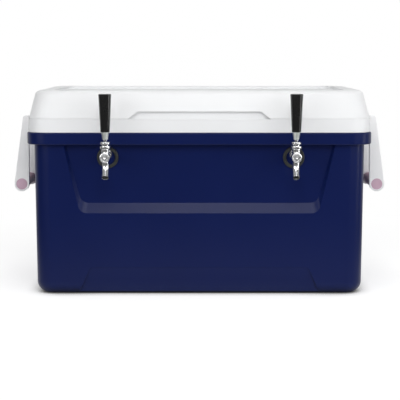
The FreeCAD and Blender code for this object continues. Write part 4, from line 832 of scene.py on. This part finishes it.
def makeGrip():
    # soft sleeve with shallow finger ribs
    low, high, middle = span("handle_grip_left")
    length = high.y - low.y
    radius = (high.x - low.x) / 2
    core, soft, first = gripSleeve["coreRadius"], gripSleeve["endRound"], gripSleeve["endBand"]
    width, wall, floor = gripSleeve["ribWidth"], gripSleeve["ribWall"], radius - gripSleeve["ribDepth"]
    pitch = (length - 2 * first) / gripSleeve["ribs"]
    section = [(core, 0.0)] + lowEdge(radius, 0.0, soft)
    for rib in range(gripSleeve["ribs"]):
        start = first + pitch * rib + (pitch - width) / 2
        section += [(radius, start), (floor, start + width * wall), (floor, start + width * (1 - wall)),
                    (radius, start + width)]
    section += highEdge(radius, length, soft) + [(core, length)]
    piece = turnedPiece("handleGripLeft", section, gripSleeve["segments"], closed=True)
    stand(piece, (middle.x, high.y, middle.z), faceFront)
    smoothed(piece)
    settlePair(piece, "handle_grip")


endCap = {"radius": 0.0120, "depth": 0.0025, "round": 0.0006, "dome": 0.0003, "domeRing": 0.55, "domeRise": 0.0001,
          "segments": 64}


def makeEndCaps():
    # round plugs that close the grip's core at both faces of the arms
    low, high, middle = span("handle_end_caps_left")
    radius, depth = endCap["radius"], endCap["depth"]
    section = [(axisRadius, 0.0), (radius, 0.0)] + highEdge(radius, depth - endCap["dome"], endCap["round"])
    section += [(radius * endCap["domeRing"], depth - endCap["domeRise"]), (axisRadius, depth)]
    front = turnedPiece("handleEndCapsLeft", section, endCap["segments"])
    stand(front, (middle.x, low.y + depth, middle.z), faceFront)
    rear = turnedPiece("rearCap", section, endCap["segments"])
    stand(rear, (middle.x, high.y - depth, middle.z), faceRear)
    only(front)
    rear.select_set(True)
    bpy.ops.object.join()
    smoothed(front)
    settlePair(front, "handle_end_caps")


drainCap = {"boreRadius": 0.0104, "wall": 0.0030, "edge": 0.0008, "dishOuter": 0.72, "dishInner": 0.68,
            "dishDepth": 0.0006, "notches": 20, "notchDepth": 0.0006, "notchMargin": 0.00015, "segments": 80}


def makeDrainCap():
    # screw cap with a fluted skirt and a shallow dished end
    low, high, middle = span("drain_cap")
    length = high.y - low.y
    radius = (high.x - low.x) / 2
    bore, edge = drainCap["boreRadius"], drainCap["edge"]
    inner, dish = length - drainCap["wall"], length - drainCap["dishDepth"]
    section = [(axisRadius, inner), (bore, inner), (bore, 0.0), (radius - edge, 0.0), (radius, edge)]
    section += highEdge(radius, length, 2 * edge)
    section += [(radius * drainCap["dishOuter"], length), (radius * drainCap["dishInner"], dish), (axisRadius, dish)]
    piece = turnedPiece("drainCap", section, drainCap["segments"])
    fluted(piece, edge, length - 2 * edge, drainCap)
    stand(piece, (middle.x, low.y, middle.z), faceRear)
    smoothed(piece)
    settle(piece, "drain_cap")


makeTapHandle()
makeFerrule()
makeBonnet()
makeLeverStem()
makePlug()
makeCoupling()
makeWallRing()
makeFaucetBody()
print("faucets modelled")
makeGrip()
makeEndCaps()
makeDrainCap()
print("grips, caps and drain modelled")

print("pieces done")
